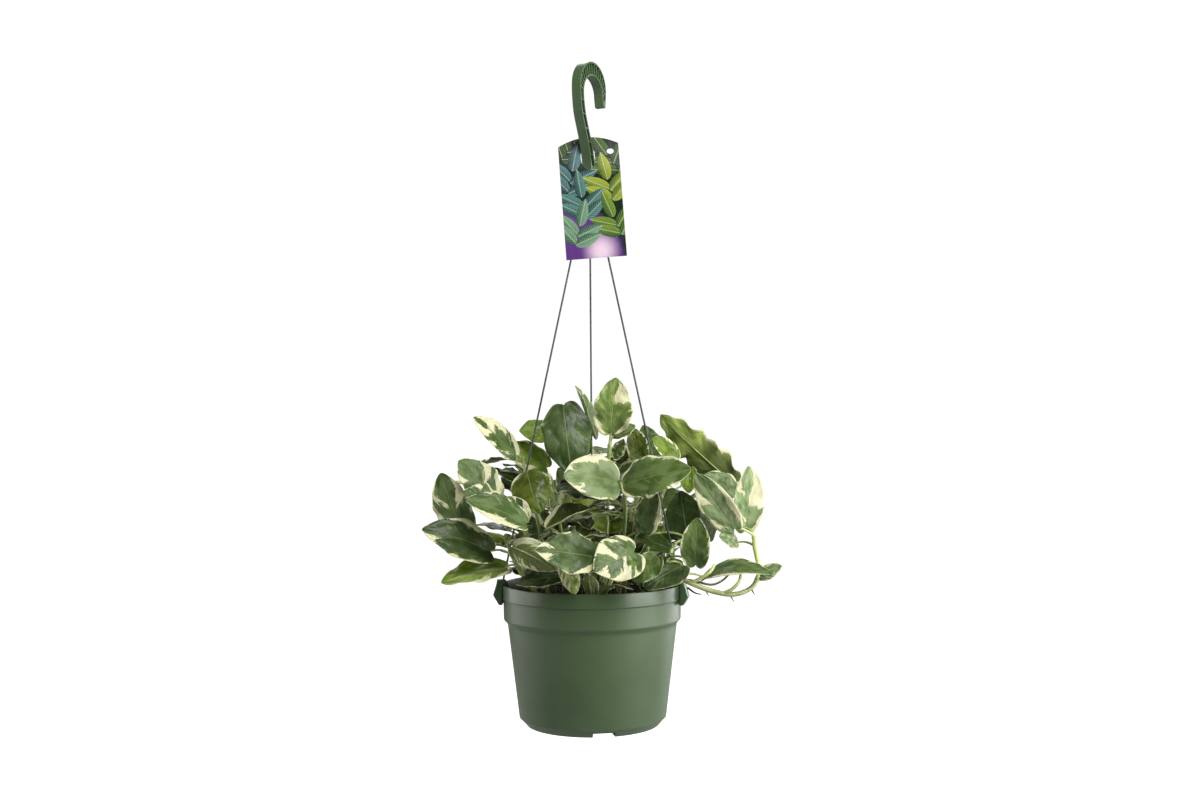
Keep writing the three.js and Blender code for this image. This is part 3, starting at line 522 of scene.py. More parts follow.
pockets = range(STEPS_A_SPAN, (spans - 2) * STEPS_A_SPAN + 1)
hook_turn = np.array(Matrix.Rotation(math.radians(HOOK_TURN), 3, "Z"))


def on_hook(outer, inner, depth, across):
    """A point of the hook: depth in from the outer edge, across its width."""
    way = (inner - outer) / np.linalg.norm(inner - outer)
    u, z = outer + way * depth
    return hook_turn @ np.array([u, -across, z])


def hook_section(outer, inner, web):
    """The twelve corners of the I section, or of a solid one where the web is as wide."""
    deep = np.linalg.norm(inner - outer)
    half = HOOK_WIDTH / 2
    inside = deep - FLANGE
    corners = [(0, -half), (0, half), (FLANGE, half), (FLANGE, web), (inside, web), (inside, half),
               (deep, half), (deep, -half), (inside, -half), (inside, -web), (FLANGE, -web), (FLANGE, -half)]
    return [on_hook(outer, inner, depth, across) for depth, across in corners]


def soft_edges(piece, width, corner):
    """Rounded edges where faces meet at more than the corner's degrees."""
    soften = piece.modifiers.new("eased edges", "BEVEL")
    soften.width = width * MM
    soften.segments = 2
    soften.angle_limit = math.radians(corner)


hook_rings = []
for i, (outer, inner) in enumerate(zip(outer_line, inner_line)):
    webs = [WEB / 2] if i in pockets else [SOLID_WEB]
    if i == pockets[0]:
        webs = [SOLID_WEB, WEB / 2]
    if i == pockets[-1]:
        webs = [WEB / 2, SOLID_WEB]
    hook_rings += [hook_section(outer, inner, web) for web in webs]
hook_points = [corner for ring in hook_rings for corner in ring]
last_ring = CORNERS * (len(hook_rings) - 1)
hook_faces = [list(range(CORNERS))[::-1], [last_ring + k for k in range(CORNERS)]]
for first in range(0, last_ring, CORNERS):
    for k in range(CORNERS):
        after = (k + 1) % CORNERS
        hook_faces.append([first + k, first + after, first + CORNERS + after, first + CORNERS + k])
hook_finish = moulded_finish("hanger polypropylene", pixel_colour(58, 80, 50), pixel_colour(72, 96, 62),
                             roughness=0.33, wear=0.1, grain_depth=0.00003)
hook = new_piece("hook_moulding", hook_points, hook_faces, hook_finish)
soft_edges(hook, HOOK_EDGE, corner=50)


def attribute(tree, name, kind="FLOAT"):
    """A named attribute in a Geometry Nodes tree."""
    return laid(tree, "GeometryNodeInputNamedAttribute", settings={"data_type": kind}, Name=name)


def rib_tree():
    """Sets a block at each point it is given, turned and sized by the point's attributes."""
    tree, get, gives = new_group(
        "cross ribs", "GeometryNodeTree",
        [("Geometry", "NodeSocketGeometry", None), ("Finish", "NodeSocketMaterial", None)],
        [("Geometry", "NodeSocketGeometry")])
    across, width, size = (attribute(tree, name, "FLOAT_VECTOR") for name in ("across", "width", "size"))
    turn = laid(tree, "FunctionNodeAxesToRotation", Primary_Axis=across, Secondary_Axis=width,
                settings={"primary_axis": "X", "secondary_axis": "Y"})
    block = laid(tree, "GeometryNodeMeshCube", Size=(1.0, 1.0, 1.0))
    points = laid(tree, "GeometryNodeMeshToPoints", Mesh=get["Geometry"])
    ribs = laid(tree, "GeometryNodeInstanceOnPoints", Points=points, Instance=block, Rotation=turn,
                Scale=size)
    ribs = laid(tree, "GeometryNodeRealizeInstances", Geometry=ribs)
    ribs = laid(tree, "GeometryNodeSetMaterial", Geometry=ribs, Material=get["Finish"])
    ribs.to(gives.inputs["Geometry"])
    return tree


def marked(piece, **values):
    """Gives a piece's points named attributes: numbers, or rows of three."""
    for name, rows in values.items():
        rows = np.asarray(rows, np.float32)
        kind, key = ("FLOAT_VECTOR", "vector") if rows.ndim == 2 else ("FLOAT", "value")
        piece.data.attributes.new(name, kind, "POINT").data.foreach_set(key, rows.ravel())


rib_middles, rib_ways, rib_sizes = [], [], []
for i in pockets[STEPS_A_SPAN:-1:STEPS_A_SPAN]:
    deep = np.linalg.norm(inner_line[i] - outer_line[i])
    rib_middles.append(on_hook(outer_line[i], inner_line[i], deep / 2, 0))
    start, end = (on_hook(outer_line[i], inner_line[i], depth, 0) for depth in (0, deep))
    rib_ways.append(end - start)
    rib_sizes.append(((deep - 2 * FLANGE + 0.8) * MM, (HOOK_WIDTH - 0.5) * MM, RIB * MM))
ribs = new_piece("hook_ribs", rib_middles, [], None)
marked(ribs, across=rib_ways, width=[hook_turn @ (0, -1, 0)] * len(rib_ways), size=rib_sizes)
grown(ribs, rib_tree(), Finish=hook_finish)
made_plain(hook)
smoothed(hook, corner=40)
for piece in (hook, ribs):
    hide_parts("hook")
    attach(piece, "root")

# Clips and strands
# Three clips are moulded with a barb that snaps under the rim band. Each holds the end of a slim
# extruded plastic strand that runs straight up into the hub.
STRAND_RADIUS = 1.1
STRAND_TOP = 600
STRAND_TOP_REACH = 2.5
STRAND_FOOT = 157.5
STRAND_FOOT_REACH = 99.5
STRAND_SIDES = 16
STRAND_STEPS = 8
CLIP_EDGE = 0.5
CLIP_WELD = 0.01
FLAT_WITHIN = 1
CLIP_AZIMUTHS = {"left": 188, "right": -16, "back": 90}


def strand_ends(azimuth):
    """A strand's end in the hub and its end in the clip."""
    c, s = math.cos(math.radians(azimuth)), math.sin(math.radians(azimuth))
    return (np.array([STRAND_TOP_REACH * c, STRAND_TOP_REACH * s, STRAND_TOP]),
            np.array([STRAND_FOOT_REACH * c, STRAND_FOOT_REACH * s, STRAND_FOOT]))


def rod_tree():
    """A round rod along each line it is given, as thick as the line's points say."""
    tree, get, gives = new_group(
        "round rod", "GeometryNodeTree",
        [("Geometry", "NodeSocketGeometry", None), ("Sides", "NodeSocketInt", 8),
         ("Finish", "NodeSocketMaterial", None)],
        [("Geometry", "NodeSocketGeometry")])
    line = laid(tree, "GeometryNodeMeshToCurve", Mesh=get["Geometry"])
    ring = laid(tree, "GeometryNodeCurvePrimitiveCircle", Resolution=get["Sides"], Radius=1.0)
    rods = laid(tree, "GeometryNodeCurveToMesh", Curve=line, Profile_Curve=ring,
                Scale=attribute(tree, "rod_radius"), Fill_Caps=True)
    rods = laid(tree, "GeometryNodeSetShadeSmooth", Geometry=rods)
    rods = laid(tree, "GeometryNodeSetMaterial", Geometry=rods, Material=get["Finish"])
    rods.to(gives.inputs["Geometry"])
    return tree


ROD_TREE = rod_tree()
strand_finish = moulded_finish("strand plastic", pixel_colour(52, 62, 56), pixel_colour(74, 84, 76),
                               roughness=0.42, wear=0.1, grain_depth=0.00003)
for side, azimuth in CLIP_AZIMUTHS.items():
    top, foot = strand_ends(azimuth)
    line = [foot + (top - foot) * k / STRAND_STEPS for k in range(STRAND_STEPS + 1)]
    edges = [(k, k + 1) for k in range(STRAND_STEPS)]
    strand = new_piece(f"strand_{side}_rod", line, [], None, edges=edges)
    marked(strand, rod_radius=[STRAND_RADIUS * MM] * len(line))
    grown(strand, ROD_TREE, Sides=STRAND_SIDES, Finish=strand_finish)
    smoothed(strand, corner=50)
    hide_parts(f"strand_{side}")
    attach(strand, "root")

    clip = new_object(f"clip_{side}_moulding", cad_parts[f"clip_{side}"].data.copy())
    clip.data.materials.clear()
    clip.data.materials.append(hook_finish)
    weld = clip.modifiers.new("joined corners", "WELD")
    weld.merge_threshold = CLIP_WELD * MM
    flat = clip.modifiers.new("flat faces", "DECIMATE")
    flat.decimate_type = "DISSOLVE"
    flat.angle_limit = math.radians(FLAT_WITHIN)
    soft_edges(clip, CLIP_EDGE, corner=35)
    made_plain(clip)
    smoothed(clip, corner=40)
    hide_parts(f"clip_{side}")
    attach(clip, "root")

# Tag
# A thin laminated card with an arched top, threaded on the hook's shank by a slot, so its top lies
# behind the shank and the rest hangs in front of the strands. The print is sprigs of paired leaves
# on a violet ground, and the back is plain.
TAG_WIDTH = 67
TAG_SIDE = 130
TAG_ARCH = 9
ARCH_POINTS = 41
TAG_CORNER = 3
TAG_THICKNESS = 0.8
TAG_LEAN = 4
TAG_CENTRE = (3, 577)
TAG_DRAPE = [(79, 4), (66, 1.5), (51, -3.5), (38, -8.5), (24, -9.6), (-17, -10), (-62, -11.5)]
TAG_ROWS = 60
SLOT = ((-1.3, 51), (7.9, 15))
PUNCHED = ((24, 56), (3.9, 3.1))
HOLE_SIDES = 48
CUTTER_DEPTH = 30
SHEET_MARGIN = 5
# A sprig has its foot, lean, length, pairs of leaves, a leaf's length and breadth, and two colours.
SPRIGS = [
    ((-36, 44), 40, 50, 2, 32, 18, (12, 26, 14), (54, 80, 38)),
    ((36, 24), -30, 52, 2, 32, 18, (14, 30, 18), (70, 98, 34)),
    ((-28, 2), 14, 56, 2, 33, 18, (10, 36, 48), (78, 118, 122)),
    ((24, -8), -10, 52, 2, 33, 18, (44, 74, 8), (160, 170, 50)),
    ((-8, -26), -6, 52, 2, 32, 17, (10, 40, 42), (78, 128, 122)),
    ((32, -46), -20, 48, 2, 31, 17, (26, 58, 12), (110, 140, 38)),
    ((-24, -54), 16, 48, 2, 31, 17, (26, 66, 48), (118, 156, 124)),
]
PAIR_LEAN = 54
PRINT_TONE = 0.9


def parts_of(tree, vector):
    """A vector's three numbers."""
    node = tree.nodes.new("ShaderNodeSeparateXYZ")
    vector.to(node.inputs[0])
    return [Thread(tree, socket) for socket in node.outputs]


def vector_worked(tree, operation, first, second):
    """A Vector Math node on two threads."""
    node = tree.nodes.new("ShaderNodeVectorMath")
    node.operation = operation
    first.to(node.inputs[0])
    second.to(node.inputs[1])
    return Thread(tree, node.outputs[0])


def vector_of(tree, x, y, z):
    return laid(tree, "ShaderNodeCombineXYZ", X=x, Y=y, Z=z)


def on_tag(points):
    """The card's own place, across and up from its middle, to where it hangs."""
    turn = Matrix.Rotation(math.radians(-TAG_LEAN), 3, "Y")
    return np.asarray(points, float) @ np.array(turn).T + (TAG_CENTRE[0], 0, TAG_CENTRE[1])


def prism(name, ring, depth):
    """A closed prism along Y over a ring of (across, up), turned the right way out."""
    count = len(ring)
    points = [(x, y, z) for y in (-depth, depth) for x, z in ring]
    faces = [list(range(count)), list(range(2 * count - 1, count - 1, -1))]
    faces += [[k, k + count, (k + 1) % count + count, (k + 1) % count] for k in range(count)]
    return new_piece(name, on_tag(points), faces, None)


def oval(centre, radii):
    """The outline of an oval hole."""
    turns = np.linspace(0, 2 * np.pi, HOLE_SIDES, endpoint=False)
    return [(centre[0] + radii[0] * math.cos(a), centre[1] + radii[1] * math.sin(a)) for a in turns]


def printed_leaf():
    """One leaf of the print: where it is, its veins, and its light from one side to the other."""
    group, get, gives = new_group(
        "printed leaf", "ShaderNodeTree",
        [("At", "NodeSocketVector", None), ("Foot", "NodeSocketVector", None),
         ("Turn", "NodeSocketFloat", 0.0), ("Length", "NodeSocketFloat", 20.0),
         ("Breadth", "NodeSocketFloat", 10.0)],
        [("Mask", "NodeSocketFloat"), ("Vein", "NodeSocketFloat"), ("Light", "NodeSocketFloat")])
    own = laid(group, "ShaderNodeVectorRotate", settings={"rotation_type": "Y_AXIS"},
               Vector=vector_worked(group, "SUBTRACT", get["At"], get["Foot"]), Angle=get["Turn"])
    across, _, up = parts_of(group, own)
    share = worked(group, "MINIMUM", worked(group, "MAXIMUM", up / get["Length"], 0.0), 1.0)
    half = share ** 0.5 * (1.0 - share) ** 0.8 * get["Breadth"] * 0.95
    ripple = noise(group, own, 0.5, detail=1.0) * 0.8
    fed(group, gives.inputs["Mask"], eased(group, half - abs(across) - ripple * 0.5, -0.1, 0.35))
    rib = 1.0 - eased(group, abs(across), 0.2, 0.6)
    side = eased(group, worked(group, "COSINE", (up - abs(across) * 0.9) * 2.1), 0.8, 1.0)
    fed(group, gives.inputs["Vein"], worked(group, "MAXIMUM", rib, side * 0.55))
    lit = across / worked(group, "MAXIMUM", half, 0.1)
    fed(group, gives.inputs["Light"], eased(group, lit + share * 0.6 + ripple - 0.4, -1.2, 1.3))
    return group


def tag_finish():
    """The printed front, which reads the card's own place in millimetres, and the plain back."""
    finish, tree, surface = new_finish("printed card")
    tag_leaf = printed_leaf()
    at = laid(tree, "ShaderNodeMapping", settings={"vector_type": "TEXTURE"},
              Vector=laid(tree, "ShaderNodeTexCoord", output=3),
              Location=tuple(placed((TAG_CENTRE[0], 0, TAG_CENTRE[1]))),
              Rotation=(0, math.radians(-TAG_LEAN), 0), Scale=(MM, MM, MM))
    across, _, up = parts_of(tree, at)
    cloud = noise(tree, at, 0.035, detail=2.0)
    glow = laid(tree, "ShaderNodeVectorMath", output=1, settings={"operation": "LENGTH"},
                Vector=vector_of(tree, (across - 6.0) / 22.0, 0.0, (up + 54.0) / 24.0))
    colour = blended(tree, eased(tree, cloud + up / 160.0, 0.3, 0.75), pixel_colour(86, 52, 114),
                     pixel_colour(146, 108, 162))
    hedge = eased(tree, cloud + (up + 4.0) / 120.0 - (across + 8.0) * (up - 20.0) / 9000.0, 0.3, 0.5)
    colour = blended(tree, hedge, colour, pixel_colour(22, 38, 28))
    colour = blended(tree, 1.0 - eased(tree, glow, 0.1, 1.1), colour, pixel_colour(216, 190, 208))
    for (x, z), lean, size, pairs, leaf_size, breadth, dark, light in SPRIGS:
        turn = math.radians(lean)
        leaf_places = [(1.0, lean)]
        for k in range(pairs, 0, -1):
            leaf_places += [(k / (pairs + 1), lean - PAIR_LEAN), (k / (pairs + 1) - 0.06, lean + PAIR_LEAN)]
        for share, leaf_lean in leaf_places:
            leaf = tree.nodes.new("ShaderNodeGroup")
            leaf.node_tree = tag_leaf
            at.to(leaf.inputs["At"])
            reach = size * share * 0.62
            leaf.inputs["Foot"].default_value = (x + reach * math.sin(turn), 0, z + reach * math.cos(turn))
            leaf.inputs["Turn"].default_value = -math.radians(leaf_lean)
            leaf.inputs["Length"].default_value = leaf_size
            leaf.inputs["Breadth"].default_value = breadth
            mask, vein, lit = (Thread(tree, socket) for socket in leaf.outputs)
            toned = [PRINT_TONE * part for part in light]
            print_colour = blended(tree, lit, pixel_colour(*dark), pixel_colour(*toned))
            print_colour = blended(tree, vein * 0.4, print_colour, pixel_colour(206, 220, 190))
            colour = blended(tree, mask, colour, print_colour)
    front = eased(tree, parts_of(tree, laid(tree, "ShaderNodeNewGeometry", output=3))[1], -0.4, -0.6)
    paper = blended(tree, cloud, pixel_colour(232, 228, 232), pixel_colour(214, 208, 220))
    fed(tree, surface.inputs["Base Color"], blended(tree, front, paper, colour))
    fed(tree, surface.inputs["Roughness"], 0.2 + noise(tree, at, 0.3, detail=3.0) * 0.14)
    fed(tree, surface.inputs["Normal"], bumped(tree, noise(tree, at, 0.06), 0.0004))
    surface.inputs["Specular IOR Level"].default_value = 0.15
    return finish


drape = curve_points([(y, z) for z, y in TAG_DRAPE], np.linspace(0, 1, TAG_ROWS))
section = np.vstack([drape - (TAG_THICKNESS / 2, 0), drape[::-1] + (TAG_THICKNESS / 2, 0)])
count = len(section)
half_sheet = TAG_WIDTH / 2 + SHEET_MARGIN
sheet_points = [(x, y, z) for x in (-half_sheet, half_sheet) for y, z in section]
sheet_faces = [[k, (k + 1) % count, (k + 1) % count + count, k + count] for k in range(count)]
sheet_faces += [[k + 1, k, count - 1 - k, count - 2 - k] for k in range(TAG_ROWS - 1)]
sheet_faces += [[count + k, count + k + 1, 2 * count - 2 - k, 2 * count - 1 - k] for k in range(TAG_ROWS - 1)]
tag = new_piece("tag_card_sheet", on_tag(sheet_points), sheet_faces, tag_finish())
half, tall = TAG_WIDTH / 2, TAG_SIDE / 2
arch = [(half - TAG_WIDTH * t, tall + 4 * TAG_ARCH * t * (1 - t)) for t in np.linspace(0, 1, ARCH_POINTS)]
card_outline = [(-half, TAG_CORNER - tall), (-half + TAG_CORNER, -tall), (half - TAG_CORNER, -tall),
                (half, TAG_CORNER - tall), *arch]
cutters = [("INTERSECT", prism("card_outline", card_outline, CUTTER_DEPTH)),
           ("DIFFERENCE", prism("card_slot", oval(*SLOT), CUTTER_DEPTH)),
           ("DIFFERENCE", prism("card_hole", oval(*PUNCHED), CUTTER_DEPTH))]
for operation, cutter in cutters:
    cut_by(tag, operation, cutter)
made_plain(tag)
for operation, cutter in cutters:
    bpy.data.objects.remove(cutter)
smoothed(tag)
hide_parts("tag")
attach(tag, "root")

# Leafy stems
# Each stem roots in the mix and bears heart-shaped leaves on thin stalks, thick and waxy, in greens
# broken by cream margins and wedges. The stems and their leaves lie where the model's do: the same
# tables and rules, in millimetres, and the same way of settling leaves that come too close.
STEM_DEPTH = 9
STEM_RADIUS = 2
PETIOLE_RADIUS = 1.15
SETTLE_PASSES = 110
FREE_PASSES = 30
SETTLE_GAP = 8.5
GIVES_WAY = (1.0, 3.0)
PUSH_RATE = 1.8
FEWEST_PUSHES = 3
HOME_PULL = 0.04
SEED = 37
PETIOLE_BOW = 0.12
BLADE_SPAN = 0.62
SPOT_STEP = 8
COURSE_POINTS = 201
STEM_CLEAR = 7
CLIP_CLEAR = 14
RIM_CLEAR = 8
RIM_SPOTS = 72

# A foot is where the stem leaves the mix and the path is what it follows above it. Each leaf has the
# share of the stem's length at which it grows, the blade's base and tip, the way its upper face
# looks, its width, cup, curl, lobe, and then its looks: its green, the share of its half width that
# the cream margin takes, and cream wedges, each with its place along the blade, half its length and
# how far it reaches in from the edge, below zero on the other side.
FRONT_STEMS = [
    ((-60, -38), [(-72, -42, 165), (-86, -42, 190), (-94, -36, 212)], [
        (0.95, (-136, -50, 214), (-160, -62, 281), (-1, -5, 0), 42, 0.12, 20, 0.1,
         "grey", 0.1, [(0.75, 0.07, -0.75), (0.4, 0.16, -0.5), (0.75, 0.16, 0.75)]),
        (0.75, (-109, -62, 196), (-178, -88, 224), (-1, -4, 3), 48, 0.1, 30, 0.1,
         "dusk", 0.08, [(0.4, 0.3, 0.3), (0.97, 0.1, -0.6)]),
        (0.6, (-91, -62, 181), (-158, -84, 167), (0, -2, 3), 40, 0.1, 30, 0.1,
         "lime", 0.07, [(0.5, 0.12, -0.4), (0.2, 0.1, -0.5)]),
        (1.0, (-92, -36, 208), (-116, -42, 214), (0, -3, 3), 16, 0.2, 20, 0.1, "lime", 0.3, []),
    ]),
    ((-46, -56), [(-50, -60, 165), (-62, -66, 195), (-72, -68, 220), (-82, -60, 243)], [
        (0.7, (-73, -88, 229), (-131, -108, 256), (0, -3, 4), 44, 0.15, 20, 0.1,
         "grey", 0.09, [(0.6, 0.32, -0.62), (0.3, 0.12, -0.4)]),
        (0.9, (-94, -70, 250), (-133, -84, 262), (0, -3, 3), 34, 0.1, 20, 0.1,
         "leaf", 0.2, [(0.3, 0.15, 0.6), (0.75, 0.1, 0.5)]),
        (1.0, (-101, -50, 251), (-143, -60, 293), (1, -4, 2), 44, 0.1, 20, 0.1,
         "grey", 0.12, [(0.62, 0.09, 1.0), (0.3, 0.12, 0.8), (0.8, 0.1, -0.5)]),
        (0.8, (-68, -66, 231), (-90, -78, 255), (2, -4, 1), 24, 0.3, 10, 0.1, "grey", 0.3, [(0.4, 0.2, 0.8)]),
        (0.5, (-82, -92, 205), (-37, -100, 181), (1, 4, 1), 34, 0.1, 30, 0.1,
         "olive", 0.3, [(0.3, 0.2, 0.8), (0.7, 0.15, 0.6)]),
    ]),
    ((-40, -22), [(-48, -22, 175), (-60, -20, 230), (-70, -8, 268), (-76, 0, 290)], [
        (1.0, (-84, -20, 299), (-127, -40, 341), (1, -3, 2), 30, 0.15, 25, 0.1,
         "leaf", 0.35, [(0.9, 0.22, 1.0), (0.9, 0.22, -0.9), (0.2, 0.15, 0.7)]),
        (0.9, (-73, 30, 279), (-103, 18, 280), (0, -1, 4), 24, 0.1, 15, 0.1, "grey", 0.0, []),
        (0.8, (-72, -48, 277), (-62, -74, 234), (-1, -4, 3), 46, -0.2, 40, 0.1,
         "olive", 0.04, [(0.12, 0.2, 0.25)]),
    ]),
    ((-22, -62), [(-24, -62, 170), (-32, -56, 215), (-38, -44, 252), (-40, -36, 272)], [
        (0.55, (-46, -74, 223), (-2, -86, 245), (0, -2, 4), 34, 0.5, 15, 0.1,
         "olive", 0.1, [(0.2, 0.25, -0.5), (0.3, 0.2, 0.3)]),
        (0.9, (-33, -45, 266), (10, -60, 252), (0, -2, 4), 40, 0.1, 25, 0.1, "deep", 0.03, []),
        (0.25, (-34, -72, 175), (-80, -78, 168), (0, -2, 3), 30, 0.1, 20, 0.1, "deep", 0.05, []),
    ]),
    ((-12, -22), [(-16, -20, 190), (-26, -8, 260), (-36, -2, 320), (-40, -8, 345)], [
        (1.0, (-30, -35, 353), (-21, -62, 280), (0, -5, 2), 54, -0.15, 40, 0.1, "dusk", 0.0, []),
        (0.9, (-45, 15, 321), (-80, 5, 325), (0, -3, 2), 32, 0.1, 20, 0.1, "lime", 0.0, [(0.1, 0.15, 0.4)]),
        (0.85, (3, -15, 318), (-17, -22, 374), (4, -1, 1), 26, 0.5, 10, 0.1, "grey", 0.15, []),
    ]),
    ((4, -70), [(6, -72, 160), (9, -76, 182), (8, -72, 205)], [
        (0.8, (2, -100, 195), (-57, -122, 205), (0, -4, 2), 46, 0.1, 20, 0.18,
         "dusk", 0.05, [(0.3, 0.12, -0.45), (0.98, 0.1, 0.8), (0.98, 0.1, -0.8)]),
        (0.6, (-30, -104, 190), (-17, -106, 158), (1, 4, 1), 22, 0.2, 15, 0.1,
         "lime", 0.6, [(0.3, 0.3, 0.8)]),
        (1.0, (44, -98, 199), (3, -118, 182), (0, -4, 2), 54, 0.1, 15, 0.2,
         "leaf", 0.2, [(0.55, 0.13, -1.0), (0.7, 0.14, 1.0), (1.0, 0.14, -1.0), (0.1, 0.12, -0.6)]),
    ]),
    ((14, -18), [(16, -20, 190), (18, -26, 250), (19, -32, 295), (20, -34, 310)], [
        (1.0, (22, -40, 323), (27, -48, 382), (0, -5, 1), 42, 0.15, 15, 0.1,
         "fresh", 0.13, [(0.9, 0.25, 1.0), (0.2, 0.13, -0.45), (0.25, 0.12, 0.55)]),
        (0.95, (24, -22, 321), (48, -14, 330), (1, -2, 3), 22, 0.1, 15, 0.1, "leaf", 0.05, []),
        (0.9, (24, -6, 295), (36, -12, 316), (2, -4, 0), 18, 0.1, 15, 0.1, "leaf", 0.4, []),
        (0.8, (29, -72, 274), (-28, -102, 280), (0, -4, 2), 54, 0.1, 30, 0.1,
         "moss", 0.07, [(0.6, 0.35, 0.36), (0.85, 0.12, -0.6), (0.98, 0.08, 0.8)]),
    ]),
    ((30, -42), [(32, -46, 180), (36, -54, 225), (36, -58, 258)], [
        (1.0, (36, -80, 268), (103, -106, 286), (0, -4, 2), 46, 0.08, 25, 0.1,
         "leaf", 0.12, [(0.1, 0.14, 0.35), (0.1, 0.14, -0.4)]),
        (0.95, (26, -32, 280), (84, -46, 296), (0, -2, 4), 34, 0.1, 20, 0.1, "deep", 0.03, []),
        (0.6, (56, -62, 213), (66, -76, 257), (-1, -4, 1), 30, 0.2, 15, 0.1, "grey", 0.08, [(0.5, 0.5, 0.4)]),
    ]),
    ((52, -22), [(58, -22, 180), (70, -18, 230), (84, -8, 268), (90, -2, 282)], [
        (1.0, (94, -8, 292), (68, -12, 317), (1, -3, 2), 26, 0.1, 20, 0.1, "lime", 0.14, []),
        (0.85, (54, 8, 290), (46, 2, 327), (1, -4, 0), 26, 0.15, 20, 0.1, "olive", 0.1, []),
        (0.9, (72, 28, 291), (58, 22, 330), (0, -3, 1), 30, 0.1, 20, 0.1, "grey", 0.05, []),
        (0.9, (107, -26, 284), (106, -36, 257), (-1, -4, 1), 20, 0.1, 20, 0.1, "lime", 0.05, []),
        (0.5, (106, -4, 205), (98, -12, 258), (0, -4, 1), 46, 0.1, 15, 0.1, "deep", 0.0, []),
    ]),
    ((56, 8), [(66, 9, 190), (95, 12, 236), (126, 16, 258), (148, 22, 264)], [
        (1.0, (157, 25, 266), (77, 0, 342), (1, 4, 2), 46, 0.1, -12, 0.1, "young", 0.0, [(0.5, 0.5, -0.16)]),
        (0.95, (160, 4, 268), (108, -8, 277), (0, -1, 4), 32, 0.1, 20, 0.1, "deep", 0.0, []),
        (0.9, (152, -10, 248), (122, -26, 276), (1, -3, 1), 36, 0.15, 20, 0.1, "sage", 0.08, []),
    ]),
    ((62, -52), [(68, -54, 165), (80, -56, 185), (90, -52, 204)], [
        (0.8, (106, -84, 184), (111, -98, 232), (-1, -4, 1), 32, 0.35, 15, 0.1, "leaf", 0.1, []),
        (0.9, (86, -62, 187), (50, -72, 212), (0, -2, 3), 38, 0.1, 20, 0.1, "deep", 0.0, []),
        (0.7, (103, -66, 190), (60, -87, 169), (0, -3, 3), 38, 0.1, 20, 0.1, "dusk", 0.05, []),
        (0.45, (68, -80, 186), (41, -94, 166), (1, -4, 2), 28, 0.1, 20, 0.1, "leaf", 0.07, []),
        (1.0, (126, -36, 206), (121, -46, 258), (2, -3, 0), 30, 0.1, 15, 0.1, "deep", 0.0, []),
    ]),
    ((70, -34), [(70, -35, 157), (76, -43, 165), (90, -58, 169), (106, -70, 163), (131, -72, 154),
                 (153, -68, 151), (172, -60, 158), (180, -52, 172), (177, -46, 195), (176, -42, 210)], [
        (0.3, (119, -62, 184), (191, -76, 173), (0, -2, 4), 34, 0.1, 60, 0.1, "grey", 0.1, [(0.5, 0.5, 0.3)]),
        (0.78, (180, -56, 168), (203, -62, 180), (0, -3, 2), 18, 0.1, 20, 0.1, "sage", 0.2, []),
        (1.0, (160, -20, 213), (170, -38, 283), (2, -4, -1), 40, 0.1, 15, 0.1,
         "sage", 0.08, [(0.75, 0.35, 1.0), (0.2, 0.1, 0.4), (0.45, 0.07, -0.9), (0.8, 0.1, -0.7)]),
        (1.0, (154, -44, 222), (112, -64, 279), (-2, -4, 1), 36, 0.15, 20, 0.1,
         "sage", 0.08, [(0.4, 0.4, 0.4), (0.75, 0.12, -0.8), (0.3, 0.08, -0.6)]),
        (0.95, (168, -28, 206), (142, -36, 211), (0, -3, 2), 22, 0.1, 20, 0.1, "sage", 0.15, []),
    ]),
]


def draws(seed):
    """Repeatable numbers between 0 and 1."""
    state = seed
    while True:
        state = state * 16807 % 2147483647
        yield state / 2147483647


LOOK_DRAWS = draws(SEED + 500)


def drawn_looks():
    """Looks for a leaf that no table gives: mostly green, one in four with much cream."""
    d = [next(LOOK_DRAWS) for _ in range(9)]
    green = ["leaf", "deep", "grey", "sage", "leaf", "dusk", "olive", "lime"][int(8 * d[0])]
    wedges = []
    for k in range(int(0.6 + 2.4 * d[1])):
        side = 1 if d[2 + k] > 0.5 else -1
        wedges.append((0.15 + 0.8 * d[4 + k], 0.08 + 0.14 * d[6 + k], side * (0.35 + 0.6 * d[3 + k])))
    return green, 0.03 + 0.16 * d[8] ** 2, wedges


# The back of the plant: stems fan out, low outer and tall inner in turn, and their leaves reach
# outward and up under a dome, the lower ones over the rim.
BACK_STEMS = 7
BACK_LEAVES = 5
BACK_FIRST = 29
BACK_STEP = 17
BACK_STRAND_GAP = 16
BACK_REACH = (62, 40)
BACK_HEIGHT = (225, 265)
BACK_LEAVES_FROM = (0.3, 0.62)
STRAND_ROOM = 0.17
LOWEST_BACK_BLADE = 172
CROWN_TOP = 300
CROWN_SLOPE = 0.3

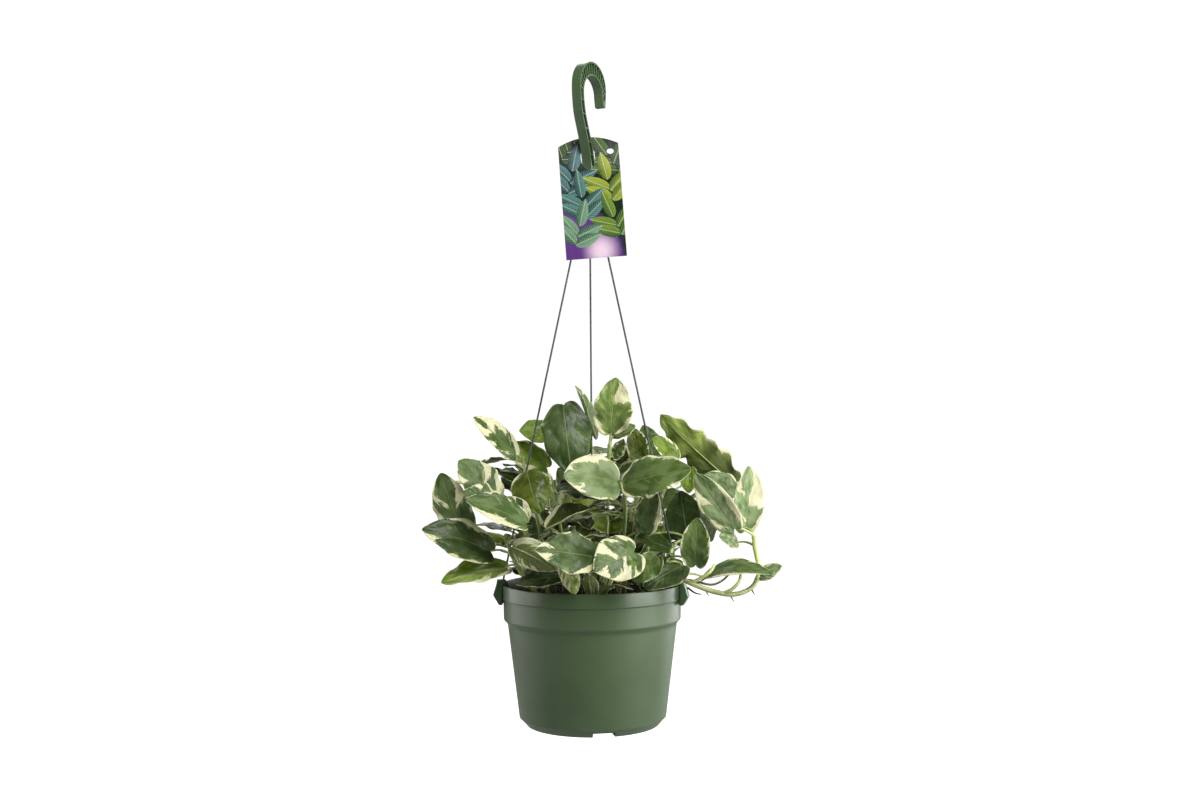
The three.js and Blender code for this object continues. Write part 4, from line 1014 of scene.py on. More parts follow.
back_stems = []
draw = draws(SEED)
strand_azimuth = math.radians(CLIP_AZIMUTHS["back"])
for k in range(BACK_STEMS):
    kind = k % 2
    behind = 0 if k < BACK_STEMS / 2 else BACK_STRAND_GAP
    azimuth = math.radians(BACK_FIRST + BACK_STEP * k + behind + 4 * (next(draw) - 0.5))
    lean = 20 + 22 * next(draw)
    height = BACK_HEIGHT[kind] + 20 * next(draw)

    def on_stem(share):
        out = BACK_REACH[kind] + lean * share
        turn = azimuth + 0.12 * share
        return out * math.cos(turn), out * math.sin(turn), 150 + (height - 150) * share

    leaves = []
    for j in range(BACK_LEAVES):
        share = BACK_LEAVES_FROM[kind] + (1 - BACK_LEAVES_FROM[kind]) * j / (BACK_LEAVES - 1)
        turn = azimuth + (1 if j % 2 == 0 else -1) * (0.05 + 0.38 * next(draw))
        if azimuth < math.pi / 2:
            turn = min(turn, strand_azimuth - STRAND_ROOM)
        else:
            turn = max(turn, strand_azimuth + STRAND_ROOM)
        out = np.array([math.cos(turn), math.sin(turn), 0])
        petiole = 24 + 22 * next(draw)
        length = 48 + 26 * next(draw)
        base = np.array(on_stem(share)) + out * petiole
        base[2] = max(base[2] + petiole * 0.45, LOWEST_BACK_BLADE)
        headroom = math.asin(min((CROWN_TOP - CROWN_SLOPE * abs(base[0]) - base[2]) / length, 1))
        climb = min(math.radians(-12 + 62 * share * next(draw) + 10 * share), headroom)
        tip = base + length * (math.cos(climb) * out + np.array([0, 0, math.sin(climb)]))
        width = length * (0.58 + 0.12 * next(draw))
        leaves.append((share, base, tip, 0.6 * out + (0, 0, 1), width, 0.1, 15 + 25 * next(draw), 0.1))
    foot = (BACK_REACH[kind] * math.cos(azimuth), BACK_REACH[kind] * math.sin(azimuth))
    back_stems.append((foot, [on_stem(0.3), on_stem(0.65), on_stem(1)],
                       [leaf + drawn_looks() for leaf in leaves]))

# The middle: upright stems whose leaves face the front, left and right in turn.
INNER_STEMS = [(-34, 4, 255), (2, 14, 285), (36, 4, 250)]
INNER_LEAVES = 4

inner_stems = []
draw = draws(SEED + 1000)
for x, y, height in INNER_STEMS:
    def on_stem(share):
        return x * (1 + 0.4 * share), y + 14 * share, 150 + (height - 150) * share

    leaves = []
    for j in range(INNER_LEAVES):
        share = 0.3 + 0.7 * j / (INNER_LEAVES - 1)
        side = 1 if j % 2 == 0 else -1
        base = np.array(on_stem(share)) + (side * (9 + 8 * next(draw)), 4, 12)
        length = 44 + 12 * next(draw)
        climb = math.radians(10 + 50 * next(draw))
        tip = base + (side * length * math.cos(climb), -8, length * math.sin(climb))
        leaves.append((share, base, tip, (0.3 * side, -3, 2), length * 0.66, 0.1, 20, 0.1))
    inner_stems.append(((x, y), [on_stem(0.3), on_stem(0.65), on_stem(1)],
                        [leaf + drawn_looks() for leaf in leaves]))

stems = FRONT_STEMS + inner_stems + back_stems


class Course:
    """A stem's course, read by shares of its length."""

    def __init__(self, points):
        self.points = points
        self.shares = np.linspace(0, 1, COURSE_POINTS)
        steps = np.linalg.norm(np.diff(curve_points(points, self.shares), axis=0), axis=1)
        self.lengths = np.concatenate([[0], np.cumsum(steps)])
        self.length = self.lengths[-1]

    def at(self, parts):
        shares = np.interp(np.atleast_1d(parts) * self.length, self.lengths, self.shares)
        return curve_points(self.points, shares)


courses = []
for foot, path, _ in stems:
    ground = soil_height(math.hypot(*foot))
    risen = [(*foot, ground - STEM_DEPTH), (*foot, ground + 1), (*foot, ground + 7), *path]
    courses.append(Course(risen))

rows = [(i, leaf) for i, (_, _, leaves) in enumerate(stems) for leaf in leaves]
stem_of = np.array([i for i, _ in rows])
ease = np.where(stem_of < len(FRONT_STEMS), *GIVES_WAY)
base, tip, up = (np.array([leaf[k] for _, leaf in rows], float) for k in (1, 2, 3))
width, cup, curl, lobe = (np.array([leaf[k] for _, leaf in rows], float) for k in (4, 5, 6, 7))
curl = np.radians(curl)
root = np.vstack([courses[i].at(leaf[0]) for i, leaf in rows])
home_base, home_tip = base.copy(), tip.copy()
length = np.linalg.norm(tip - base, axis=1)
petiole_length = np.linalg.norm(root - base, axis=1)
span = petiole_length + length * BLADE_SPAN
bow = petiole_length * PETIOLE_BOW


def dotted(a, b):
    return (a * b).sum(-1)


def unit(v):
    return v / np.linalg.norm(v, axis=-1, keepdims=True)


def blade_axes():
    """For each leaf: base to tip, the way the upper face looks, and across."""
    along = unit(tip - base)
    face = unit(up - along * dotted(up, along)[:, None])
    return along, face, np.cross(along, face)


def blade_profile(u):
    """A blade's width from its base to its tip, as a share of its greatest."""
    return 2.07 * (u + 0.03) ** 0.5 * (1 - u) ** 0.6


def blade_points(u, s):
    """Points of every blade: u runs from base to tip, s across."""
    along, face, across = (axis[:, None, :] for axis in blade_axes())
    bend = curl[:, None]
    radius = length[:, None] / (2 * np.sin(bend / 2))
    turn = bend * (u - lobe[:, None] * s * s * (1 - u) ** 4) - bend / 2
    normal = face * np.cos(turn)[..., None] + along * np.sin(turn)[..., None]
    half = width[:, None] / 2 * blade_profile(u)
    rise = radius * (np.sin(turn) + np.sin(bend / 2))
    lift = radius * (np.cos(turn) - np.cos(bend / 2))
    return (base[:, None, :] + along * rise[..., None] + face * lift[..., None]
            + across * (half * s)[..., None] + normal * (cup[:, None] * half * s * s)[..., None])


def petiole_points(shares):
    """Points of every leaf's stalk, which bows up between the stem and the blade."""
    straight = root[:, None, :] + (base - root)[:, None, :] * shares[None, :, None]
    straight[..., 2] += bow[:, None] * 4 * shares * (1 - shares)
    return straight


petiole_shares = np.array([0.15, 0.35, 0.55, 0.8])
grid = [(u, s) for u in (0.02, 0.24, 0.46, 0.68) for s in (-0.9, -0.45, 0, 0.45, 0.9)] + [(0.92, 0)]
grid_u, grid_s = (np.array([cell[k] for cell in grid], float) for k in (0, 1))
base_pull = np.concatenate([petiole_shares, 1 - grid_u])
tip_pull = np.concatenate([np.zeros(4), grid_u])

spot_points, spot_gap, spot_stem = [], [], []


def keep_clear(points, gap, stem=-1):
    """Points that leaves stay away from by a gap, apart from the leaves of the stem they lie on."""
    spot_points.extend(points)
    spot_gap.extend([gap] * len(points))
    spot_stem.extend([stem] * len(points))


for i, course in enumerate(courses):
    keep_clear(course.at(np.linspace(0, 1, int(course.length / SPOT_STEP + 0.5) + 1)), STEM_CLEAR, i)
for azimuth in CLIP_AZIMUTHS.values():
    top, foot = strand_ends(azimuth)
    keep_clear([foot + (top - foot) * k / 60 for k in range(41)], STEM_CLEAR)
    keep_clear([foot], CLIP_CLEAR)
for k in range(RIM_SPOTS):
    turn = math.radians(360 / RIM_SPOTS * k)
    spot = (RIM_RADIUS * math.cos(turn), RIM_RADIUS * math.sin(turn), POT_HEIGHT - 4)
    keep_clear([spot], RIM_CLEAR)
spot_points, spot_gap, spot_stem = np.array(spot_points), np.array(spot_gap, float), np.array(spot_stem)

# Leaves that come too close push each other apart, and away from stems, strands and the rim, while
# each keeps its length and is drawn back to its own place, less and less. A front leaf, which the
# table places, gives way less than the others.
count = len(rows)
samples_each = len(base_pull)
leaf_at = np.repeat(np.arange(count), samples_each)
pull_base, pull_tip = np.tile(base_pull, count), np.tile(tip_pull, count)
later = leaf_at[:, None] < leaf_at[None, :]
apart_from_spot = stem_of[leaf_at][:, None] != spot_stem[None, :]


def near_pairs(first, second, reach, allowed):
    """Pairs of points closer than the reach: a rough pass over all, then the exact distance."""
    f, s = first.astype(np.float32), second.astype(np.float32)
    rough = (f ** 2).sum(1)[:, None] + (s ** 2).sum(1)[None, :] - 2 * (f @ s.T)
    a, b = np.nonzero((rough < np.float32(reach * reach + 1)) & allowed)
    gap = first[a] - second[b]
    distance = np.linalg.norm(gap, axis=1)
    keep = distance < reach
    return a[keep], b[keep], gap[keep], distance[keep]


for settling in range(SETTLE_PASSES):
    points = np.concatenate([petiole_points(petiole_shares), blade_points(grid_u, grid_s)], axis=1)
    points = points.reshape(-1, 3)
    middle = (base + tip) / 2
    face = blade_axes()[1]
    reachable = (np.linalg.norm(middle[:, None] - middle[None], axis=2)
                 <= span[:, None] + span[None] + SETTLE_GAP)
    a, b, gap, distance = near_pairs(points, points, SETTLE_GAP, later)
    keep = reachable[leaf_at[a], leaf_at[b]]
    a, b, gap, distance = a[keep], b[keep], gap[keep], distance[keep]
    i, j = leaf_at[a], leaf_at[b]
    parting = unit(face[j] * np.sign(dotted(face[i], face[j]) + 1e-9)[:, None] + face[i])
    parting *= np.sign(dotted(middle[i] - middle[j], parting) + 1e-9)[:, None]
    way = unit(gap / np.maximum(distance, 0.01)[:, None] + parting)
    push = (SETTLE_GAP - distance) / (ease[i] + ease[j])
    c, d, spot_way, spot_distance = near_pairs(points, spot_points, spot_gap.max(), apart_from_spot)
    keep = (spot_distance < spot_gap[d]) & (np.linalg.norm(spot_points[d] - middle[leaf_at[c]], axis=1)
                                            <= (span + length)[leaf_at[c]] + spot_gap[d])
    c, d, spot_way, spot_distance = c[keep], d[keep], spot_way[keep], spot_distance[keep]
    spot_way /= np.maximum(spot_distance, 0.01)[:, None]
    pushed = np.concatenate([a, b, c])
    moved = np.concatenate([way * (push * ease[i])[:, None], -way * (push * ease[j])[:, None],
                            spot_way * (spot_gap[d] - spot_distance)[:, None]])
    leaf = leaf_at[pushed]
    rate = PUSH_RATE / np.maximum(np.bincount(leaf, minlength=count), FEWEST_PUSHES)
    home = max(HOME_PULL * (1 - settling / (SETTLE_PASSES - FREE_PASSES)), 0)
    for end, own, pull in ((base, home_base, pull_base), (tip, home_tip, pull_tip)):
        for axis in range(3):
            end[:, axis] += rate * np.bincount(leaf, moved[:, axis] * pull[pushed], minlength=count)
        end += (own - end) * home
    middle = (base + tip) / 2
    half_way = unit(tip - base) * length[:, None] / 2
    base, tip = middle - half_way, middle + half_way

# Older leaves deep in the plant close most views through it. Each grows where a sight line from the
# front or a side would pass, if it keeps clear of all that is there. Near the top only those grow
# that the front does not see. A range here is its low end and how much a draw may add.
FILL_TRIES = 20000
FILL_LEAVES = 120
FILL_GAP = 2.2
FILL_ROD_GAP = 4.2
FILL_REACH = 104
FILL_TOP = (268, 0.35)
HIDDEN_TOP = (330, 0.35)
FILL_FLOOR = 7
FILL_SHARE = (0.2, 0.75)
FILL_STALK = (8, 22)
FILL_SIZE = (25, 32)
FILL_CLIMB = (-25, 85)
FILL_SIGHTS = ((10, -1650, 359), (-1650, -200, 300), (1650, -200, 300), (0, 1650, 300))
FRONT_SIGHT = 6
FINE_ROWS = 9
FINE_COLUMNS = 7
SIGHT_STEP = 4
ROD_SPOTS = 60
STALK_SPOTS = 7
RIM_ROOM = (7, 4)


def filling_leaf(draw):
    """A leaf drawn at random on one of the stems: the stem and the leaf's row."""
    d = [next(draw) for _ in range(9)]

    def ranged(limits, k):
        return limits[0] + limits[1] * d[k]

    i = int(len(stems) * d[0])
    share = ranged(FILL_SHARE, 1)
    knot = courses[i].at(share)[0]
    turn = 2 * math.pi * d[2]
    out = np.array([math.cos(turn), math.sin(turn), 0])
    stalk = ranged(FILL_STALK, 3)
    foot = knot + out * stalk + (0, 0, stalk * (0.7 * d[4] - 0.1))
    size = ranged(FILL_SIZE, 5)
    climb = math.radians(ranged(FILL_CLIMB, 6))
    end = foot + size * (math.cos(climb) * out + np.array([0, 0, math.sin(climb)]))
    looks = ("deep", 0.03 + 0.1 * d[7], []) if d[8] < 0.5 else drawn_looks()
    return i, (share, foot, end, 0.5 * out + (0, 0, 1), size * (0.62 + 0.12 * d[7]), 0.12, 15 + 20 * d[8],
               0.12, *looks)


fill_draw = draws(SEED + 2000)
tries = [filling_leaf(fill_draw) for _ in range(FILL_TRIES)]
settled = len(rows)
rows += tries
stem_of = np.array([i for i, _ in rows])
base, tip, up = (np.vstack([values, [leaf[k] for _, leaf in tries]])
                 for k, values in ((1, base), (2, tip), (3, up)))
width, cup, curl, lobe = (np.array([leaf[k] for _, leaf in rows], float) for k in (4, 5, 6, 7))
curl = np.radians(curl)
root = np.vstack([root, [courses[i].at(leaf[0])[0] for i, leaf in tries]])
length = np.concatenate([length, np.linalg.norm(tip - base, axis=1)[settled:]])
petiole_length = np.concatenate([petiole_length, np.linalg.norm(root - base, axis=1)[settled:]])
bow = petiole_length * PETIOLE_BOW

fine_grid = np.meshgrid(np.linspace(0, 1, FINE_ROWS), np.linspace(-1, 1, FINE_COLUMNS), indexing="ij")
fine = blade_points(*(cell.ravel() for cell in fine_grid))
firsts = [FINE_COLUMNS * k + j for k in range(FINE_ROWS - 1) for j in range(FINE_COLUMNS - 1)]
quads = [(k, k + 1, k + FINE_COLUMNS + 1, k + FINE_COLUMNS) for k in firsts]
stalk_points = petiole_points(np.linspace(0, 1, STALK_SPOTS))


def blades_tree(leaves):
    """What a ray or a near point finds: the blades of these leaves."""
    corners = [Vector(point) for leaf in leaves for point in fine[leaf]]
    faces = [[fine.shape[1] * k + corner for corner in quad] for k in range(len(leaves)) for quad in quads]
    return BVHTree.FromPolygons(corners, faces)


rod_spots = [point for course in courses for point in course.at(np.linspace(0, 1, ROD_SPOTS))]
for azimuth in CLIP_AZIMUTHS.values():
    top, foot = strand_ends(azimuth)
    rod_spots += [foot + (top - foot) * k / (1.5 * ROD_SPOTS) for k in range(ROD_SPOTS)]
rod_spots += [point for stalk in stalk_points[:settled] for point in stalk]
rod_tree_points = KDTree(len(rod_spots))
for k, point in enumerate(rod_spots):
    rod_tree_points.insert(point, k)
rod_tree_points.balance()


def under(blade, top):
    """Whether all points of a blade lie under a cone: its height on the axis and its slope."""
    return (blade[:, 2] <= top[0] - top[1] * np.linalg.norm(blade[:, :2], axis=1)).all()


def open_sights(leaf, tree):
    """How many lines of sight through the leaf's points nothing closes yet."""
    count = 0
    for k, eye in enumerate(FILL_SIGHTS):
        for point in fine[leaf][::SIGHT_STEP]:
            way = Vector(eye) - Vector(point)
            if tree.ray_cast(point, way)[0] is None and tree.ray_cast(point, -way)[0] is None:
                count += FRONT_SIGHT if k == 0 else 1
    return count


def hidden(leaf, tree):
    """Whether another leaf hides each point of this one from the front."""
    eye = Vector(FILL_SIGHTS[0])
    return all(tree.ray_cast(point, eye - Vector(point))[0] is not None for point in fine[leaf][::SIGHT_STEP])


def stands_clear(leaf, tree):
    """Whether a leaf has room where it would grow."""
    blade, stalk = fine[leaf], stalk_points[leaf]
    out = np.linalg.norm(blade[:, :2], axis=1)
    if out.max() > FILL_REACH or not under(blade, HIDDEN_TOP):
        return False
    if (blade[out > RIM_RADIUS - RIM_ROOM[0], 2] < POT_HEIGHT + RIM_ROOM[1]).any():
        return False
    if not under(blade, FILL_TOP) and not hidden(leaf, tree):
        return False
    if (blade[:, 2] < SOIL_EDGE_HEIGHT + FILL_FLOOR).any():
        return False
    if any(tree.find_nearest(point, FILL_GAP)[0] is not None for point in (*blade, *stalk[1:])):
        return False
    if any(rod_tree_points.find(point)[2] < FILL_ROD_GAP for point in blade):
        return False
    return not tree.overlap(blades_tree([leaf]))


kept = list(range(settled))
tree = blades_tree(kept)
able = [leaf for leaf in range(settled, len(rows)) if stands_clear(leaf, tree)]
able.sort(key=lambda leaf: -open_sights(leaf, tree))
for leaf in able:
    if len(kept) == settled + FILL_LEAVES:
        break
    if open_sights(leaf, tree) >= FRONT_SIGHT and stands_clear(leaf, tree):
        kept.append(leaf)
        tree = blades_tree(kept)
rows = [rows[leaf] for leaf in kept]
stem_of, base, tip, up, width, cup, curl, lobe, root, length, petiole_length, bow = (
    values[kept]
    for values in (stem_of, base, tip, up, width, cup, curl, lobe, root, length, petiole_length, bow))

# Everything below dresses the settled stems. A leaf's point carries its axes, sizes and looks, and
# one Geometry Nodes tree grows blades on these points and rods along the stems, stalks and midribs.
BLADE_THICKNESS = 0.5
BLADE_ROWS = 40
BLADE_COLUMNS = 19
BLADE_WAVE = 0.075
BLADE_POINT = (0.3, 0.65)
BLADE_PUCKER = 0.0042
FOLD = 1.4
BUCKLED_LEAF = (9, 0)
BUCKLE = (3.1, 22)
BUCKLED_POINT = 0.45
LONG_LEAF = (11, 0)
LONG_LEAF_FACE = (0, -1.7, 3.4)
STEM_STEP = 4
STEM_TAPER = 0.15
NODE_SWELL = 0.7
NODE_REACH = 3.5
STALK_STEPS = 9
STALK_SUNK = 1.2
STALK_FLARE = 0.35
MIDRIB = (0.95, 0.22)
MIDRIB_STEPS = 12
MIDRIB_SPAN = (0.03, 0.9)
MIDRIB_DROP = 0.85
MOST_WEDGES = 4
WELD_REACH = 0.02 * MM
ROD_SIDES = 10
GREENS = {
    "deep": pixel_colour(54, 70, 30),
    "leaf": pixel_colour(100, 120, 66),
    "dusk": pixel_colour(76, 94, 52),
    "grey": pixel_colour(104, 124, 76),
    "fresh": pixel_colour(130, 148, 84),
    "moss": pixel_colour(134, 150, 106),
    "sage": pixel_colour(148, 166, 120),
    "olive": pixel_colour(92, 106, 38),
    "lime": pixel_colour(124, 146, 52),
    # The last green is a pale lime: partly a leaf's own colour, partly painted glow that stands in for light
    # shining through the leaf.
    "young": pixel_colour(164, 184, 84),
}


def read(tree, name, output=2):
    """A named attribute in a material: a number, or with output 0 or 1 a colour or vector."""
    return laid(tree, "ShaderNodeAttribute", output=output, settings={"attribute_name": name})


def leaf_finish():
    """Waxy leaf: greens along the side veins, cream margin and wedges with torn borders."""
    finish, tree, surface = new_finish("variegated leaf")
    u, s, seed = read(tree, "blade_u"), read(tree, "blade_s"), read(tree, "leaf_seed")
    across = abs(s)
    side = worked(tree, "SIGN", s)
    vein = u - across * 0.3
    streak = noise(tree, vector_of(tree, vein * 9.0, across * 1.6 + side * 4.0, seed * 17.0), 1.0, detail=3.0)
    torn = noise(tree, vector_of(tree, vein * 30.0, across * 4.0 + side * 3.0, seed * 31.0), 1.0, detail=5.0,
                 roughness=0.7)
    jag = (torn - 0.5) * 0.75 + (streak - 0.5) * 0.5
    margin = read(tree, "leaf_margin")
    broken = 0.05 + eased(tree, streak, 0.42, 0.66) * 1.7
    cream = across - 1.0 + margin * broken + (torn - 0.5) * worked(tree, "MINIMUM", margin * 2.5, 0.5)
    cream = cream - worked(tree, "LESS_THAN", margin, 0.001) * 2.0
    for k in range(MOST_WEDGES):
        place, half, reach = parts_of(tree, read(tree, f"leaf_wedge_{k + 1}", output=1))
        inner = across - 1.0 + abs(reach)
        opening = eased(tree, inner / worked(tree, "MAXIMUM", abs(reach), 0.01), 0.0, 1.0)
        breadth = half * (0.25 + 0.85 * opening)
        within = worked(tree, "MINIMUM", breadth - abs(vein - place + 0.3), inner * 0.6)
        own_side = worked(tree, "GREATER_THAN", s * reach, 0.0)
        cream = worked(tree, "MAXIMUM", cream, within * 2.0 + jag * 0.8 + (own_side - 1.0) * 3.0)
    cream_share = eased(tree, cream, -0.015, 0.02)
    pale_share = eased(tree, cream + (streak - 0.5) * 0.9, -0.1, 0.1) * 0.5

    green = blended(tree, eased(tree, u + (streak - 0.5) * 0.5, 0.3, 0.6), read(tree, "leaf_green", output=0),
                    read(tree, "leaf_tip", output=0))
    mottle = noise(tree, vector_of(tree, u * 4.0, s * 1.8, seed * 45.0), 1.0, detail=3.0)
    marble = noise(tree, vector_of(tree, vein * 8.0, across * 1.4 + side * 6.0, seed * 23.0), 1.0, detail=5.0,
                   roughness=0.65)
    shade = blended(tree, 1.0, green, pixel_colour(190, 202, 176), mode="MULTIPLY")
    body = blended(tree, eased(tree, mottle, 0.4, 0.6), shade, green)
    body = blended(tree, eased(tree, marble, 0.6, 0.64) * 0.3, body, pixel_colour(138, 160, 92))
    body = blended(tree, (1.0 - eased(tree, marble, 0.38, 0.43)) * 0.35, body, shade)
    body = blended(tree, pale_share, body, pixel_colour(132, 156, 80))
    speckle = noise(tree, vector_of(tree, vein * 60.0, across * 16.0, seed * 9.0), 1.0)
    freckle = eased(tree, speckle, 0.58, 0.66)
    light = blended(tree, streak, pixel_colour(234, 231, 206), pixel_colour(222, 216, 162))
    light = blended(tree, freckle * 0.5, light, pixel_colour(158, 176, 96))
    colour = blended(tree, cream_share, body, light)
    rib = 1.0 - eased(tree, across, 0.01, 0.045)
    colour = blended(tree, rib * 0.3, colour, pixel_colour(168, 186, 110))
    under = read(tree, "blade_under")
    colour = blended(tree, under * 0.25, colour, pixel_colour(176, 190, 130))
    fed(tree, surface.inputs["Base Color"], colour)

    skewed = vein + (streak - 0.5) * 0.12
    quilt = worked(tree, "COSINE", skewed * 44.0) * across * (1.0 - across) * 4.0
    skin = noise(tree, laid(tree, "ShaderNodeTexCoord", output=3), 900.0, detail=2.0)
    height = quilt * 0.17 - rib * 0.8 + mottle * 3.0 + skin * 0.06
    normal = bumped(tree, height, 0.0006)
    fed(tree, surface.inputs["Normal"], normal)
    fed(tree, surface.inputs["Roughness"], 0.35 + (mottle - 0.5) * 0.26 + under * 0.16)
    surface.inputs["Specular IOR Level"].default_value = 0.3

    glow = laid(tree, "ShaderNodeBsdfTranslucent", Normal=normal,
                Color=blended(tree, 0.8, colour, pixel_colour(205, 226, 96), mode="MULTIPLY"))
    mixed = tree.nodes.new("ShaderNodeMixShader")
    mixed.inputs[0].default_value = 0.2
    tree.links.new(surface.outputs[0], mixed.inputs[1])
    glow.to(mixed.inputs[2])
    tree.links.new(mixed.outputs[0], tree.nodes["Material Output"].inputs["Surface"])
    return finish


def stem_finish():
    """Smooth green bark, streaked with cream along the stem and browner at the foot."""
    finish, tree, surface = new_finish("stem skin")
    at = laid(tree, "ShaderNodeTexCoord", output=3)
    length_wise = laid(tree, "ShaderNodeMapping", Vector=at, Scale=(1.0, 1.0, 0.18))
    streak = noise(tree, length_wise, 420.0, detail=3.0)
    tone = noise(tree, at, 30.0)
    age = read(tree, "stem_tone")
    cloud = eased(tree, tone, 0.35, 0.65)
    green = blended(tree, cloud, pixel_colour(84, 108, 44), pixel_colour(122, 144, 66))
    pale = blended(tree, cloud, pixel_colour(176, 192, 118), pixel_colour(206, 214, 150))
    colour = blended(tree, worked(tree, "MAXIMUM", age, 0.0), green, pale)
    colour = blended(tree, eased(tree, streak, 0.56, 0.64) * 0.6, colour, pixel_colour(212, 214, 160))
    height = parts_of(tree, at)[2] - level(SOIL_EDGE_HEIGHT)
    woody = 1.0 - eased(tree, height + (tone - 0.5) * 0.03, 0.005, 0.05)
    woody = worked(tree, "MAXIMUM", woody * 0.7, age * -1.0)
    colour = blended(tree, woody, colour, pixel_colour(82, 68, 44))
    fed(tree, surface.inputs["Base Color"], colour)
    fed(tree, surface.inputs["Roughness"], 0.45 + (streak - 0.5) * 0.2)
    fed(tree, surface.inputs["Normal"], bumped(tree, streak + tone, 0.0003))
    return finish


def leafy_stem_tree():
    """Grows blades on the leaf points and rods along the lines of what it is given."""
    tree, get, gives = new_group(
        "leafy stem", "GeometryNodeTree",
        [("Geometry", "NodeSocketGeometry", None), ("Blade Rows", "NodeSocketInt", 20),
         ("Blade Columns", "NodeSocketInt", 9), ("Blade Thickness", "NodeSocketFloat", 0.0005),
         ("Blade Wave", "NodeSocketFloat", 0.0), ("Blade Pucker", "NodeSocketFloat", 0.0),
         ("Fold", "NodeSocketFloat", 2.0), ("Rod Sides", "NodeSocketInt", 8),
         ("Leaf Finish", "NodeSocketMaterial", None), ("Stem Finish", "NodeSocketMaterial", None)],
        [("Geometry", "NodeSocketGeometry")])

    def number(name):
        return attribute(tree, name)

    def vector(name):
        return attribute(tree, name, "FLOAT_VECTOR")

    def stored(mesh, name, value, domain="POINT"):
        return laid(tree, "GeometryNodeStoreNamedAttribute", settings={"domain": domain},
                    Geometry=mesh, Name=name, Value=value)

    def summed(*vectors):
        total = vectors[0]
        for more in vectors[1:]:
            total = vector_worked(tree, "ADD", total, more)
        return total

    is_blade = worked(tree, "GREATER_THAN", number("is_blade"), 0.5)
    split = tree.nodes.new("GeometryNodeSeparateGeometry")
    get["Geometry"].to(split.inputs["Geometry"])
    is_blade.to(split.inputs["Selection"])

    flat = laid(tree, "GeometryNodeMeshGrid", Size_X=1.0, Size_Y=2.0,
                Vertices_X=get["Blade Rows"], Vertices_Y=get["Blade Columns"])
    x, y, _ = parts_of(tree, laid(tree, "GeometryNodeInputPosition"))
    x = x + 0.5
    even = x * x * (3.0 - 2.0 * x)
    flat = stored(flat, "blade_u", x * 0.4 + even * 0.6)
    flat = stored(flat, "blade_s", y)
    points = laid(tree, "GeometryNodeMeshToPoints", Mesh=Thread(tree, split.outputs["Selection"]))
    blades = laid(tree, "GeometryNodeInstanceOnPoints", Points=points, Instance=flat)
    blades = laid(tree, "GeometryNodeRealizeInstances", Geometry=blades)

    u, s = number("blade_u"), number("blade_s")
    along, face = vector("leaf_along"), vector("leaf_face")
    across = vector_worked(tree, "CROSS_PRODUCT", along, face)
    seed, ruffle, waves = number("leaf_seed"), number("leaf_ruffle"), number("leaf_waves")
    left = 1.0 - u
    start = (u + 0.003) ** 0.5
    full = start * left ** 0.6 * 2.13
    pointed = start * left ** 0.95 * 2.5
    phase = seed * 6.28 + s * 1.3
    scallop = worked(tree, "SINE", u * waves * 1.6 + phase * 3.0) * ruffle * ruffle * 0.012
    outline = (full + (pointed - full) * number("leaf_point")) * (1.0 + scallop)
    out = 1.0 - worked(tree, "MINIMUM", abs(s) * outline * 1.9, 1.0)
    lobe = number("leaf_lobe") * (1.0 - out * out) * left ** 4.0
    bend = number("leaf_curl")
    half_bend = bend * 0.5
    sine = worked(tree, "SINE", half_bend)
    radius = number("leaf_length") / (sine * 2.0)
    turn = bend * (u - lobe) - half_bend
    sine_turn, cosine_turn = worked(tree, "SINE", turn), worked(tree, "COSINE", turn)
    normal = summed(scaled(tree, face, cosine_turn), scaled(tree, along, sine_turn))
    half = number("leaf_width") * 0.5 * outline
    small_ripple = worked(tree, "SINE", u * waves * 2.3 + phase * 2.0)
    ripple = worked(tree, "SINE", u * waves + phase) + small_ripple * 0.4
    rise = number("leaf_cup") * abs(s) ** get["Fold"]
    pucker = noise(tree, vector_of(tree, u * 4.5, s * 1.8, seed * 60.0), 1.0, detail=1.0) - 0.5
    pucker = pucker * worked(tree, "MINIMUM", abs(s) * 4.0, 1.0) * get["Blade Pucker"] * left ** 0.3
    lift = half * (rise + ripple * s * s * get["Blade Wave"] * ruffle) + pucker
    place = summed(vector("leaf_base"), scaled(tree, along, radius * (sine_turn + sine)),
                   scaled(tree, face, radius * (cosine_turn - worked(tree, "COSINE", half_bend))),
                   scaled(tree, across, half * s),
                   scaled(tree, normal, lift + get["Blade Thickness"] * 0.5))
    blades = laid(tree, "GeometryNodeSetPosition", Geometry=blades, Position=place)
    thick = tree.nodes.new("GeometryNodeExtrudeMesh")
    blades.to(thick.inputs["Mesh"])
    get["Blade Thickness"].to(thick.inputs["Offset Scale"])
    thick.inputs["Individual"].default_value = False
    below = stored(Thread(tree, thick.outputs["Mesh"]), "blade_under", 1.0, domain="FACE")
    blades = joined(tree, below, laid(tree, "GeometryNodeFlipFaces", Mesh=blades))
    blades = laid(tree, "GeometryNodeMergeByDistance", Geometry=blades, Distance=WELD_REACH)
    blades = laid(tree, "GeometryNodeSetShadeSmooth", Geometry=blades)
    blades = laid(tree, "GeometryNodeSetMaterial", Geometry=blades, Material=get["Leaf Finish"])

    rods = tree.nodes.new("GeometryNodeGroup")
    rods.node_tree = ROD_TREE
    tree.links.new(split.outputs["Inverted"], rods.inputs["Geometry"])
    get["Rod Sides"].to(rods.inputs["Sides"])
    get["Stem Finish"].to(rods.inputs["Finish"])
    joined(tree, blades, Thread(tree, rods.outputs[0])).to(gives.inputs["Geometry"])
    return tree


